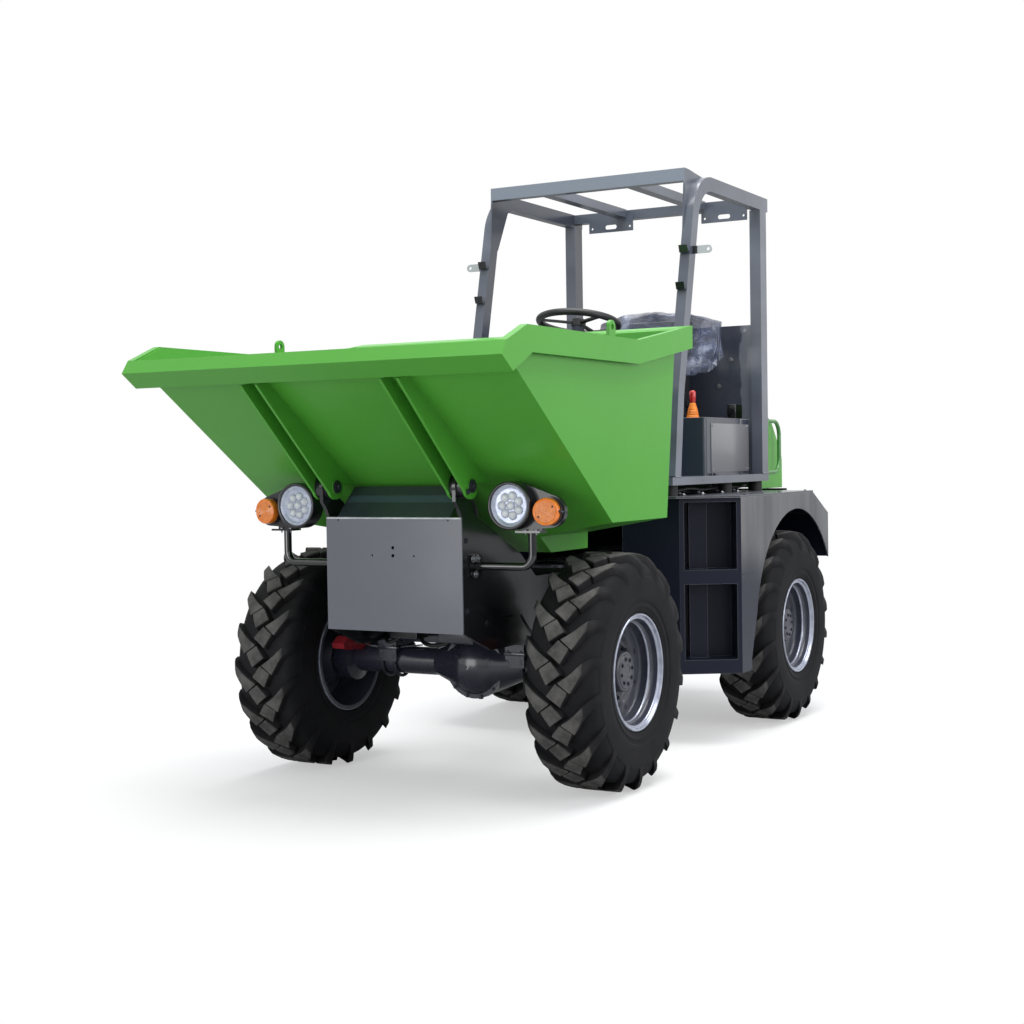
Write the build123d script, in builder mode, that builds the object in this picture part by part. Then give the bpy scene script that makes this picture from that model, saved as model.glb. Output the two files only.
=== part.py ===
from build123d import *

import os
from math import asin, atan2, cos, degrees, hypot, radians, sin, sqrt, tan

# Site dumper: an articulated forward-tipping dumper with a roll-over frame, in millimetres.
# X runs forward, Y to the machine's left and Z up. The origin lies on the ground, under the
# middle of the overall length. Places along X are written from the axle of their own half.

# ---------------------------------------------------------------- driving sizes
wheelbase = 1967
track = 1420
lip_reach = 1108          # front axle to the foremost edge of the skip
hitch_reach = 913         # rear axle to the rearmost edge of the tow hitch
plate = 15                # main frame plate
sheet = 6                 # skip and body sheet
fit_gap = 0.3             # round fits
side_gap = 1              # flat running gaps

overall_length = lip_reach + wheelbase + hitch_reach
front_x = overall_length / 2 - lip_reach
rear_x = front_x - wheelbase

# Tyre 12.5/80-18
tyre_radius = 487.5
tyre_width = 316
lug_height = 34
lug_count = 18            # on each side of the tread
rim_radius = 240          # over the flange
seat_radius = 229         # bead seat
rim_width = 294           # over the flanges
dish_depth = 95           # outer flange to the disc
disc_thick = 12
stud_count = 8
stud_circle = 220
stud_radius = 11

# Axles, with the differential left of the centre line
axle_radius = 60
diff_radius = 140
diff_offset = 120
diff_face = 62            # axle to the cover's flange
cover_rise = 78           # flange to the top of the domed cover
pinion_reach = 215        # axle to the pinion's flange
hub_radius = 95
hub_gap = 0.5
caliper_y = 500
caliper_length = 200
shaft_radius = 28
joint_radius = 38
joint_z = 515             # the propeller shafts' joint, on the steering axis

# Front frame
frame_half = 325          # outer face of the side plates
frame_bottom = 585
nose_reach = 500
nose_x = front_x + nose_reach
nose_bottom = 670
nose_top = 1129
nose_sheet = 6
tip_pivot_reach = 490
pivot_x = front_x + tip_pivot_reach
pivot_z = 1257
pivot_lug = 55
pin_radius = 20
cross_setback = 600
cross_x = front_x - cross_setback

# Centre pivot
steer_setback = 930
steer_x = front_x - steer_setback
tongue_half = 80
tongue_bottom = 640
tongue_top = 800
bush_radius = 70
kingpin_radius = 30
fork_plate = 25
fork_gap = 10

# Rear frame
rail_half = 307.5         # outer face of the rails
rail_bottom = 585
rail_top = 840
rail_lead = 120           # pivot to the rails' front end
rail_front = steer_x - rail_lead
fork_length = 430
fork_cross_x = steer_x - fork_length
rear_cross_setback = 323
bumper_setback = 833
bumper_x = rear_x - bumper_setback
bumper_half = 505

# Side bodies: step cabinet in front of the wheel, fender round it
side_y = 850
side_sheet = 6
cabinet_front = 948
cabinet_front_x = rear_x + cabinet_front
cabinet_corner_y = 602
cabinet_side = 791
cabinet_side_x = rear_x + cabinet_side
cabinet_rear = 667
cabinet_rear_x = rear_x + cabinet_rear
cabinet_bottom = 338
arch_radius = 600
arch_foot = 686
arch_foot_x = rear_x + arch_foot
arch_turn = radians(12)
fender_slope = 260
fender_slope_x = rear_x - fender_slope
fender_rear = 508
fender_rear_x = rear_x - fender_rear
fender_rear_top = 1047
fender_rear_bottom = 814
wheelhouse_y = 500        # inner wall beside the rear tyre
pocket_depth = 140
pocket_inset = 14
pocket_levels = ((404, 760), (828, 1146))   # bottom, top of each step pocket
pocket_rib_width = 86     # folded rib in the back of a pocket
pocket_rib_depth = 45

# Deck and cab
deck_thick = 10
deck_top = 1175
deck_front = 982
deck_front_x = rear_x + deck_front
cab_bottom = 1226
cab_top = 1264
cab_front = 967
cab_front_x = rear_x + cab_front
cab_rear = 333
cab_rear_x = rear_x - cab_rear
cab_half = 580
cab_tube = 50
mount_radius = 35

# Roll-over frame
post_depth = 70
post_width = 50
post_foot = 901
post_foot_x = rear_x + post_foot
post_knee = (rear_x + 852, 1660)
roof_corner = 607
roof_corner_x = rear_x + roof_corner
roof_z = 2700             # centre line of the roof beams
roof_bend = 220
rear_post_setback = 283
rear_post_x = rear_x - rear_post_setback
rear_post_depth = 90
rear_post_width = 60
roof_end = 353
roof_end_x = rear_x - roof_end
header_front = 680
header_front_x = rear_x + header_front
header_rise = 17          # header above the roof beams
header_top = roof_z + post_depth / 2 + header_rise
header_height = 62
header_depth = 50
roof_bar_y = 235
roof_bar_width = 60
roof_bar_height = 45

# Skip, in the front axle's frame
wall_run = 1.423          # forward run of the front wall for each millimetre it rises
wall_foot = (front_x + 899, 1650)
skip_floor = 965
skip_rear_foot = 420
skip_rear_foot_x = front_x - skip_rear_foot
skip_rear_top = 470
skip_rear_top_x = front_x - skip_rear_top
lip_top = 1770
side_top = 1832
side_top_front = 920
side_top_front_x = front_x + side_top_front
kink_setback = 30
kink_x = front_x - kink_setback
rim_rear = (front_x - 580, 1925)
rim_half = 862
rim_depth = 95
rim_stand_off = 60        # front band from the front wall
wall_top_y = 832
wall_low_y = 800
shelf_z = 1100            # side floor, at the side wall
chute_y = 420
chute_z = 1035            # side floor, at the chute
rib_inner_y = 285
rib_outer_y = 361
rib_plate = 12
rib_ear = 52

# Tipping cylinder
ram_foot = (front_x + 400, 700)
ram_eye = (front_x - 380, 870)
ram_radius = 45
ram_rod_radius = 22
ram_lug = 32
ram_eye_width = 50

# Steering cylinder
steer_foot = (steer_x - 350, -215)
steer_eye = (steer_x + 180, -215)
steer_ram_radius = 32
steer_rod_radius = 16
steer_ram_z = 720
steer_lug = 28
steer_eye_width = 36
steer_pin = 12.5

# Bonnet, with its hinge at the rear lower edge
bonnet_front = 368
bonnet_front_x = rear_x - bonnet_front
bonnet_rear = 823
bonnet_rear_x = rear_x - bonnet_rear
bonnet_half = 480
bonnet_bottom = 1180
bonnet_top = 1660
bonnet_sheet = 4
bonnet_slope = 110        # drop of the top towards the rear
bonnet_bend = 110
hinge_radius = 9
hinge_pin = 5
hinge_x = bonnet_rear_x - 10
hinge_z = bonnet_bottom + 7
hinge_y = 330
hinge_width = 60
hinge_lug_width = 24

os.makedirs("parts", exist_ok=True)


def side_plane(y):
    """The XZ plane at this Y; what is extruded both ways is centred on it."""
    return Plane.XZ.offset(-y)


def wall_x(z):
    """Outer face of the skip's front wall at this height."""
    return wall_foot[0] + wall_run * (z - wall_foot[1])


def bent_tube(points, bend, radius):
    """A round tube through these points, its corners bent to this radius."""
    corners = [Vector(*p) for p in points]
    with BuildPart() as tube:
        here = corners[0]
        for index in range(1, len(corners)):
            along = (corners[index] - corners[index - 1]).normalized()
            last = index == len(corners) - 1
            turn = 0 if last else along.get_angle(corners[index + 1] - corners[index])
            stop = corners[index] - along * (bend * tan(radians(turn) / 2))
            section = Plane(origin=here, z_dir=along)
            with BuildSketch(section):
                Circle(radius)
            extrude(amount=(stop - here).length)
            if last:
                break
            onward = (corners[index + 1] - corners[index]).normalized()
            turn_axis = along.cross(onward).normalized()
            centre = stop + turn_axis.cross(along) * bend
            with BuildSketch(Plane(origin=stop, z_dir=along)):
                Circle(radius)
            revolve(axis=Axis(centre, turn_axis), revolution_arc=turn)
            here = corners[index] + onward * (bend * tan(radians(turn) / 2))
    return tube.part


def save(builder, name):
    builder.part.label = name
    export_step(builder.part, f"parts/{name}.step")


# ---------------------------------------------------------------- wheels
spin_axis = Axis((0, 0, 0), (0, 1, 0))
crown_radius = tyre_radius - lug_height
half_width = tyre_width / 2
rim_half_width = rim_width / 2
bead_half = rim_half_width - 7
crown_half = 122          # half width of the tread's level part
shoulder_radius = 405     # sidewall's outer edge, where the shoulder slope starts
shoulder_half = half_width - 5
wall_radius = shoulder_radius - 5
bulge_radius = 334        # where the sidewall is widest
lug_foot_radius = 434     # lug's outer end, at the tyre's full width
lug_parts = (             # middle along the tread, corners: forward, outward from the middle line
    (58, ((64, -30), (106, 28), (47, 60), (13, 11))),
    (-13, ((11, 21), (50, 72), (-5, 104), (-63, half_width + 17), (-111, half_width + 17))),
)


def tread_block(middle, corners):
    """A flat-topped block of a lug, its highest corner on the tyre's outer circle."""
    reach = max(abs(x - middle) for x, y in corners if y <= crown_half)
    top = sqrt(tyre_radius ** 2 - reach ** 2)
    with BuildPart() as block:
        with BuildSketch(Plane.XY.offset(crown_radius - 90)):
            with BuildLine():
                Polyline(*[(x - middle, y) for x, y in corners], close=True)
            make_face()
        extrude(amount=lug_height + 120)
        with BuildSketch(Plane.YZ.offset(-half_width)):
            with BuildLine():
                Polyline(
                    (-crown_half, top),
                    (crown_half, top),
                    (half_width, lug_foot_radius),
                    (shoulder_half, shoulder_radius + 2),
                    (shoulder_half - 30, shoulder_radius - 35),
                    (-crown_half, shoulder_radius - 35),
                    close=True,
                )
            make_face()
        extrude(amount=2 * half_width, mode=Mode.INTERSECT)
    return block.part.rotate(spin_axis, degrees(middle / tyre_radius))


tread_blocks = [tread_block(middle, corners) for middle, corners in lug_parts]
lug_middle, lug_corners = lug_parts[0]
tip_run = max(x for x, y in lug_corners) - lug_middle
tip_turn = degrees(lug_middle / tyre_radius + asin(tip_run / tyre_radius))
with BuildPart() as tyre_master:
    # Crown and sloped shoulders, flat-sided between the lugs
    for y, radius in (
        (-shoulder_half, shoulder_radius),
        (-crown_half, crown_radius),
        (crown_half, crown_radius),
        (shoulder_half, shoulder_radius),
    ):
        with BuildSketch(Plane.XZ.offset(-y)):
            RegularPolygon(radius, lug_count, major_radius=False)
    loft(ruled=True)
    with BuildSketch(Plane.XZ):
        Circle(bulge_radius)
    extrude(amount=half_width, both=True, mode=Mode.SUBTRACT)
    # Sidewalls down to the beads
    with BuildSketch(Plane.YZ):
        with BuildLine():
            Line((0, seat_radius), (bead_half, seat_radius))
            Line((bead_half, seat_radius), (bead_half, rim_radius + 6))
            ThreePointArc(
                (bead_half, rim_radius + 6),
                (half_width, bulge_radius),
                (shoulder_half, wall_radius),
            )
            Line((shoulder_half, wall_radius), (0, wall_radius))
            mirror(about=Plane.YZ)
        make_face()
    revolve(axis=spin_axis)
    for block in tread_blocks:
        right_block = block.mirror(Plane.XZ)
        for index in range(lug_count):
            # A lug's corner points straight down, for the tyre to rest on
            turn = index * 360 / lug_count - tip_turn
            add(block.rotate(spin_axis, turn))
            add(right_block.rotate(spin_axis, turn + 180 / lug_count))

disc_y = rim_half_width - dish_depth
barrel_radius = seat_radius - 10
with BuildPart() as rim_master:
    with BuildSketch(Plane.YZ):
        with BuildLine():
            Polyline(
                (-rim_half_width, rim_radius),
                (-bead_half, rim_radius),
                (-bead_half, seat_radius),
                (bead_half, seat_radius),
                (bead_half, rim_radius),
                (rim_half_width, rim_radius),
                (rim_half_width, rim_radius - 12),
                (rim_half_width - 14, barrel_radius),
                (disc_y + 46, barrel_radius),
                (disc_y + 34, barrel_radius - 13),
                (disc_y, barrel_radius - 13),
                (disc_y, 150),
                (disc_y - 24, 135),
                (disc_y - 24, 90),
                (disc_y + 30, 85),
                (disc_y + 38, 70),
                (disc_y + 38, 0),
                (disc_y - 150, 0),
                (disc_y - 150, hub_radius - 10),
                (disc_y - 36, 140),
                (disc_y - disc_thick, 160),
                (disc_y - disc_thick, barrel_radius - 4),
                (-rim_half_width, barrel_radius),
                close=True,
            )
        make_face()
    revolve(axis=spin_axis)
    with BuildSketch(Plane.XZ.offset(-(disc_y - 24))):
        with PolarLocations(stud_circle / 2, stud_count):
            RegularPolygon(stud_radius, 6)
    extrude(amount=-22)

hub_face = disc_y - 150   # inner face of the hub, from the wheel's middle
wheels = (                # name, x, side (+1 left)
    ("front_left", front_x, 1),
    ("front_right", front_x, -1),
    ("rear_left", rear_x, 1),
    ("rear_right", rear_x, -1),
)
for wheel_name, wheel_x, side in wheels:
    wheel_place = Location((wheel_x, side * track / 2, tyre_radius))
    if side > 0:
        rim_shape = rim_master.part
    else:
        rim_shape = rim_master.part.mirror(Plane.XZ)
    with BuildPart() as tyre:
        add(tyre_master.part.moved(wheel_place))
    save(tyre, f"tyre_{wheel_name}")
    with BuildPart() as rim:
        add(rim_shape.moved(wheel_place))
    save(rim, f"rim_{wheel_name}")

# ---------------------------------------------------------------- axles
axle_end = track / 2 + hub_face - hub_gap
axle_pad_width = 90
brake_radius = hub_radius + 5
cap_half = diff_radius - 18
cap_rise = cover_rise - 14
cap_radius = (cap_half ** 2 + cap_rise ** 2) / (2 * cap_rise)
joint = Vector(steer_x, 0, joint_z)
for axle_name, axle_x, ahead, pad_top, pad_y in (
    ("front_axle", front_x, 1, frame_bottom, frame_half - plate / 2),
    ("rear_axle", rear_x, -1, rail_bottom, rail_half - plate / 2),
):
    with BuildPart() as axle:
        # Tube with its brake housings and the swelling round the differential
        with BuildSketch(Plane.XY.offset(tyre_radius)):
            with BuildLine():
                Polyline(
                    (axle_x, -axle_end),
                    (axle_x - ahead * (brake_radius - 17), -axle_end),
                    (axle_x - ahead * brake_radius, -axle_end + 24),
                    (axle_x - ahead * brake_radius, -axle_end + 90),
                    (axle_x - ahead * axle_radius, -axle_end + 110),
                    (axle_x - ahead * axle_radius, diff_offset - diff_radius - 70),
                    (axle_x - ahead * (diff_radius - 22), diff_offset - diff_radius / 2),
                    (axle_x - ahead * (diff_radius - 22), diff_offset + diff_radius / 2),
                    (axle_x - ahead * axle_radius, diff_offset + diff_radius + 70),
                    (axle_x - ahead * axle_radius, axle_end - 110),
                    (axle_x - ahead * brake_radius, axle_end - 90),
                    (axle_x - ahead * brake_radius, axle_end - 24),
                    (axle_x - ahead * (brake_radius - 17), axle_end),
                    (axle_x, axle_end),
                    close=True,
                )
            make_face()
        revolve(axis=Axis((axle_x, 0, tyre_radius), (0, 1, 0)))
        # Differential: domed cover on one side, pinion nose on the other
        with BuildSketch(side_plane(diff_offset)):
            with BuildLine():
                Polyline(
                    (axle_x + ahead * (diff_face + cover_rise), tyre_radius),
                    (axle_x - ahead * pinion_reach, tyre_radius),
                    (axle_x - ahead * pinion_reach, tyre_radius + 60),
                    (axle_x - ahead * (pinion_reach - 14), tyre_radius + 60),
                    (axle_x - ahead * (pinion_reach - 30), tyre_radius + 44),
                    (axle_x - ahead * (diff_face + 14), tyre_radius + diff_radius - 22),
                    (axle_x + ahead * (diff_face - 20), tyre_radius + diff_radius - 14),
                    (axle_x + ahead * (diff_face - 20), tyre_radius + diff_radius),
                    (axle_x + ahead * (diff_face + 14), tyre_radius + diff_radius),
                    (axle_x + ahead * (diff_face + 14), tyre_radius + cap_half),
                )
                ThreePointArc(
                    (axle_x + ahead * (diff_face + 14), tyre_radius + cap_half),
                    (axle_x + ahead * (diff_face + 14 + cap_rise - cap_radius
                                       + sqrt(cap_radius ** 2 - cap_half ** 2 / 4)),
                     tyre_radius + cap_half / 2),
                    (axle_x + ahead * (diff_face + cover_rise), tyre_radius),
                )
            make_face()
        revolve(axis=Axis((axle_x, diff_offset, tyre_radius), (1, 0, 0)))
        # Spring pads that carry the frame
        for y in (-pad_y, pad_y):
            with BuildSketch(side_plane(y)):
                with Locations((axle_x, (tyre_radius + pad_top) / 2)):
                    Rectangle(150, pad_top - tyre_radius)
            extrude(amount=axle_pad_width / 2, both=True)
        # Propeller shaft to the joint on the steering axis
        flange = Vector(axle_x - ahead * pinion_reach, diff_offset, tyre_radius)
        shaft_run = joint - flange
        shaft_plane = Plane(origin=flange, z_dir=shaft_run)
        shaft_end = shaft_run.length
        if ahead < 0:
            shaft_end -= joint_radius + 2 * side_gap
        with BuildSketch(shaft_plane.offset(-10)):
            Circle(shaft_radius)
        extrude(amount=shaft_end + 10)
        with BuildSketch(shaft_plane):
            Circle(55)
        extrude(amount=22)
        if ahead > 0:
            with BuildSketch(Plane.XY.offset(joint_z)):
                with Locations((steer_x, 0)):
                    Circle(joint_radius)
            extrude(amount=joint_radius - 4, both=True)
            # Brake calipers, on the housings
            for y in (-caliper_y, caliper_y):
                with BuildSketch(side_plane(y)):
                    with BuildLine():
                        Polyline(
                            (axle_x - 20, tyre_radius + 42),
                            (axle_x - 20, tyre_radius + 102),
                            (axle_x + 40, tyre_radius + 116),
                            (axle_x + caliper_length - 50, tyre_radius + 108),
                            (axle_x + caliper_length - 10, tyre_radius + 82),
                            (axle_x + caliper_length - 15, tyre_radius + 58),
                            (axle_x + 60, tyre_radius + 42),
                            close=True,
                        )
                    make_face()
                extrude(amount=30, both=True)
        else:
            with BuildSketch(shaft_plane.offset(shaft_end)):
                Circle(joint_radius - 4)
            extrude(amount=-16)
    save(axle, axle_name)

# ---------------------------------------------------------------- front frame
pivot_boss_in = rib_inner_y + rib_plate / 2 + side_gap
pivot_boss_out = rib_outer_y - rib_plate / 2 - side_gap
slope_rear_x = front_x + 18
slope_rear_z = 962
tongue_root_z = 860
with BuildPart() as front_frame:
    for y in (-frame_half + plate / 2, frame_half - plate / 2):
        with BuildSketch(side_plane(y)):
            with BuildLine():
                Polyline(
                    (nose_x - nose_sheet, nose_bottom),
                    (nose_x - nose_sheet, nose_top),
                    (pivot_x + 45, pivot_z - 55),
                    (pivot_x - 55, pivot_z - 95),
                    (slope_rear_x, slope_rear_z),
                    (slope_rear_x - 130, tongue_root_z),
                    (cross_x, tongue_root_z),
                    (cross_x, frame_bottom),
                    (front_x + 278, frame_bottom),
                    close=True,
                )
            make_face()
            with BuildLine():
                Polyline(
                    (pivot_x - 52, pivot_z + 8),
                    (pivot_x - 90, pivot_z - 110),
                    (pivot_x, pivot_z - 120),
                    (pivot_x + 52, pivot_z - 60),
                    (pivot_x + 53, pivot_z),
                    close=True,
                )
            make_face()
            with Locations((pivot_x, pivot_z)):
                Circle(pivot_lug)
        extrude(amount=plate / 2, both=True)
    for side in (-1, 1):
        for inner, outer, radius in (
            (pivot_boss_in, pivot_boss_out, pivot_lug - 8),
            (rib_inner_y - rib_plate, rib_outer_y + rib_plate, pin_radius),
            (rib_outer_y + rib_plate / 2 + side_gap, rib_outer_y + rib_plate, pin_radius + 8),
            (rib_inner_y - rib_plate, rib_inner_y - rib_plate / 2 - side_gap, pin_radius + 8),
        ):
            with BuildSketch(side_plane(side * inner)):
                with Locations((pivot_x, pivot_z)):
                    Circle(radius)
            extrude(amount=-side * (outer - inner))
    # Cross members: behind the nose, over the axle and at the rear
    for x, bottom, top, thick in (
        (ram_foot[0] + ram_lug + 14, nose_bottom + 20, nose_top - 60, plate),
        (cross_x, frame_bottom, tongue_root_z, plate),
    ):
        with BuildSketch(Plane.YZ.offset(x)):
            with Locations((0, (bottom + top) / 2)):
                Rectangle(2 * frame_half - plate, top - bottom)
        extrude(amount=thick / 2, both=True)
    # Tongue and centre bush
    with BuildSketch(Plane.XY.offset(tongue_bottom)):
        with Locations(((cross_x + steer_x) / 2, 0)):
            Rectangle(cross_x - steer_x, 2 * tongue_half)
        with Locations((steer_x, 0)):
            Circle(tongue_half)
    extrude(amount=tongue_top - tongue_bottom)
    with BuildSketch(Plane.XY.offset(tongue_bottom)):
        with Locations((steer_x, 0)):
            Circle(kingpin_radius + fit_gap)
    extrude(amount=tongue_top - tongue_bottom, mode=Mode.SUBTRACT)
    # Lugs of the tipping cylinder
    for y in (-ram_eye_width / 2 - plate / 2 - side_gap, ram_eye_width / 2 + plate / 2 + side_gap):
        with BuildSketch(side_plane(y)):
            with Locations(ram_foot):
                Circle(ram_lug)
            with Locations((ram_foot[0] + ram_lug / 2 + 7, ram_foot[1])):
                Rectangle(ram_lug + 14, 2 * ram_lug)
        extrude(amount=plate / 2, both=True)
    with BuildSketch(side_plane(0)):
        with Locations(ram_foot):
            Circle(pin_radius - 5)
    extrude(amount=ram_eye_width / 2 + plate + side_gap + 4, both=True)
    # Lugs of the steering cylinder's rod
    for z in (
        steer_ram_z - steer_eye_width / 2 - plate - side_gap,
        steer_ram_z + steer_eye_width / 2 + side_gap,
    ):
        with BuildSketch(Plane.XY.offset(z)):
            with Locations(steer_eye):
                Circle(steer_lug)
            with BuildLine():
                Polyline(
                    (steer_eye[0], steer_eye[1] - steer_lug),
                    (cross_x, steer_eye[1] - steer_lug - 30),
                    (cross_x, steer_eye[1] + steer_lug + 30),
                    (steer_eye[0], steer_eye[1] + steer_lug),
                    close=True,
                )
            make_face()
        extrude(amount=plate)
save(front_frame, "front_frame")

with BuildPart() as nose_cover:
    with BuildSketch(side_plane(0)):
        with BuildLine():
            FilletPolyline(
                (nose_x - nose_sheet / 2, nose_bottom),
                (nose_x - nose_sheet / 2, nose_top - 4),
                (nose_x - 92, nose_top + 88),
                radius=14,
            )
        trace(line_width=nose_sheet)
    extrude(amount=rib_inner_y - rib_plate - 12, both=True)
    with BuildSketch(Plane.YZ.offset(nose_x - nose_sheet)):
        with Locations((0, (nose_bottom + nose_top - 12) / 2)):
            Rectangle(2 * frame_half, nose_top - 12 - nose_bottom)
    extrude(amount=nose_sheet)
    with BuildSketch(Plane.YZ.offset(nose_x)):
        for y, z, radius in ((0, 1010, 7), (0, 978, 7), (100, 978, 4), (-100, 978, 4)):
            with Locations((y, z)):
                Circle(radius)
    extrude(amount=-nose_sheet, mode=Mode.SUBTRACT)
save(nose_cover, "nose_cover")

# ---------------------------------------------------------------- lamps
lamp_x = front_x + 450
lamp_y = 514
lamp_z = 1178
lamp_radius = 84
indicator_y = 675
indicator_z = 1155
indicator_radius = 58
tube_radius = 16
tube_bend = 45
arm_x = front_x + 409
arm_y = 592
arm_z = 937
arm_top = lamp_z - 106
with BuildPart() as lamp_arms:
    for side in (-1, 1):
        with BuildSketch(side_plane(side * frame_half)):
            with Locations((arm_x, arm_z)):
                RectangleRounded(90, 90, 12)
        extrude(amount=-side * 8)
        add(bent_tube(
            (
                (arm_x, side * (frame_half + 8), arm_z),
                (arm_x, side * arm_y, arm_z),
                (arm_x, side * arm_y, arm_top),
            ),
            tube_bend,
            tube_radius,
        ))
        with BuildSketch(Plane.XY.offset(arm_top)):
            with Locations((arm_x + 10, side * arm_y)):
                Rectangle(60, 110)
        extrude(amount=8)
save(lamp_arms, "lamp_arms")

with BuildPart() as lamp_housings:
    for side in (-1, 1):
        # Teardrop bracket round both lamps, with its foot on the arm
        with BuildSketch(Plane.YZ.offset(lamp_x - 60)):
            with Locations((side * lamp_y, lamp_z)):
                Circle(lamp_radius + 12)
            with Locations((side * indicator_y, indicator_z)):
                Circle(indicator_radius + 6)
            make_hull()
            with Locations((side * arm_y, (arm_top + 8 + lamp_z) / 2)):
                Rectangle(90, lamp_z - arm_top - 8)
        extrude(amount=24)
        with BuildSketch(Plane.YZ.offset(lamp_x - 60)):
            with Locations((side * lamp_y, lamp_z)):
                Circle(lamp_radius + 12)
        extrude(amount=60)
        with BuildSketch(Plane.YZ.offset(lamp_x - 36)):
            with Locations((side * indicator_y, indicator_z)):
                Circle(indicator_radius)
        extrude(amount=14)
        with BuildSketch(Plane.YZ.offset(lamp_x)):
            with Locations((side * lamp_y, lamp_z)):
                Circle(lamp_radius)
        extrude(amount=-14, mode=Mode.SUBTRACT)
save(lamp_housings, "lamp_housings")

with BuildPart() as headlamp_lenses:
    for side in (-1, 1):
        with BuildSketch(Plane.YZ.offset(lamp_x - 14)):
            with Locations((side * lamp_y, lamp_z)):
                Circle(lamp_radius - 1)
        extrude(amount=12)
save(headlamp_lenses, "headlamp_lenses")

with BuildPart() as indicator_lenses:
    for side in (-1, 1):
        with BuildSketch(Plane.YZ.offset(lamp_x - 22)):
            with Locations((side * indicator_y, indicator_z)):
                Circle(indicator_radius - 4)
        extrude(amount=26, taper=12)
save(indicator_lenses, "indicator_lenses")

# ---------------------------------------------------------------- skip
over = 400                # the walls are cut to the rim line from this much higher
skip_high = side_top + over


def skip_side(inset, floor_z):
    """Side outline of the skip, its walls moved in by this much."""
    front_in = inset * hypot(1, wall_run)
    Polyline(
        (wall_x(floor_z) - front_in, floor_z),
        (wall_x(skip_high) - front_in, skip_high),
        (skip_rear_top_x + inset, skip_high),
        (skip_rear_foot_x + inset, floor_z),
        close=True,
    )


def skip_front(inset, floor_z):
    """Front outline of the skip: side walls, sloped side floors and the chute between them."""
    lean = (wall_top_y - wall_low_y) / (side_top - shelf_z)
    high_y = wall_low_y + lean * (skip_high - shelf_z)
    Polyline(
        (-high_y + inset, skip_high),
        (-wall_low_y + inset, shelf_z + inset),
        (-chute_y + inset, chute_z + inset),
        (-chute_y + inset, floor_z),
        (chute_y - inset, floor_z),
        (chute_y - inset, chute_z + inset),
        (wall_low_y - inset, shelf_z + inset),
        (high_y - inset, skip_high),
        close=True,
    )


def tub(inset):
    floor_z = skip_floor + inset
    with BuildPart() as body:
        with BuildSketch(side_plane(0)):
            with BuildLine():
                skip_side(inset, floor_z)
            make_face()
        extrude(amount=rim_half + 100, both=True)
        with BuildSketch(Plane.YZ.offset(wall_x(skip_high))) as across:
            with BuildLine():
                skip_front(inset, floor_z)
            make_face()
        extrude(amount=-(wall_x(skip_high) - skip_rear_top_x + 300), mode=Mode.INTERSECT)
    return body.part


rim_line = (
    (wall_x(lip_top) + rim_stand_off / hypot(1, wall_run),
     lip_top - rim_stand_off * wall_run / hypot(1, wall_run)),
    (wall_x(lip_top), lip_top),
    (side_top_front_x, side_top),
    (kink_x, side_top),
    rim_rear,
)
skip_outer = tub(0)
with BuildPart() as skip_tub:
    add(skip_outer)
    add(tub(sheet), mode=Mode.SUBTRACT)
    with BuildSketch(side_plane(0)):
        with BuildLine():
            Polyline(
                (rim_line[1][0] + over, lip_top + 5 - over * 1.4),
                (rim_line[1][0], lip_top - sheet / 2),
                (side_top_front_x, side_top - sheet / 2),
                (kink_x, side_top - sheet / 2),
                (rim_rear[0], rim_rear[1] - sheet / 2),
                (rim_rear[0] - over, rim_rear[1]),
                (rim_rear[0] - over, skip_high + 10),
                (rim_line[1][0] + over * 3, skip_high + 10),
                close=True,
            )
        make_face()
    extrude(amount=rim_half + 100, both=True, mode=Mode.SUBTRACT)
save(skip_tub, "skip_tub")

band_y = rim_half - sheet / 2
wall_length = hypot(1, wall_run)
band_end = (
    rim_line[0][0] - rim_depth * wall_run / wall_length,
    rim_line[0][1] - rim_depth / wall_length,
)
with BuildPart() as skip_rim:
    with BuildSketch(side_plane(0)):
        with BuildLine():
            Polyline(band_end, *rim_line, (rim_rear[0], rim_rear[1] - rim_depth))
        trace(line_width=sheet)
    extrude(amount=rim_half, both=True)
    with BuildSketch(side_plane(0)):
        with BuildLine():
            Polyline(
                (rim_line[1][0], rim_line[1][1] + 60),
                (rim_line[1][0], rim_line[1][1]),
                (wall_x(lip_top - 250), lip_top - 250),
                (skip_rear_top_x, lip_top - 250),
                (skip_rear_top_x, rim_rear[1] + 60),
                close=True,
            )
        make_face()
    extrude(amount=wall_top_y, both=True, mode=Mode.SUBTRACT)
    add(skip_outer, mode=Mode.SUBTRACT)
    for side in (-1, 1):
        with BuildSketch(side_plane(side * band_y)):
            with BuildLine():
                Polyline(
                    *rim_line,
                    (rim_rear[0], rim_rear[1] - rim_depth),
                    (kink_x, side_top - rim_depth),
                    (side_top_front_x - 36, side_top - rim_depth),
                    band_end,
                    close=True,
                )
            make_face()
        extrude(amount=sheet / 2, both=True)
save(skip_rim, "skip_rim")

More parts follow.
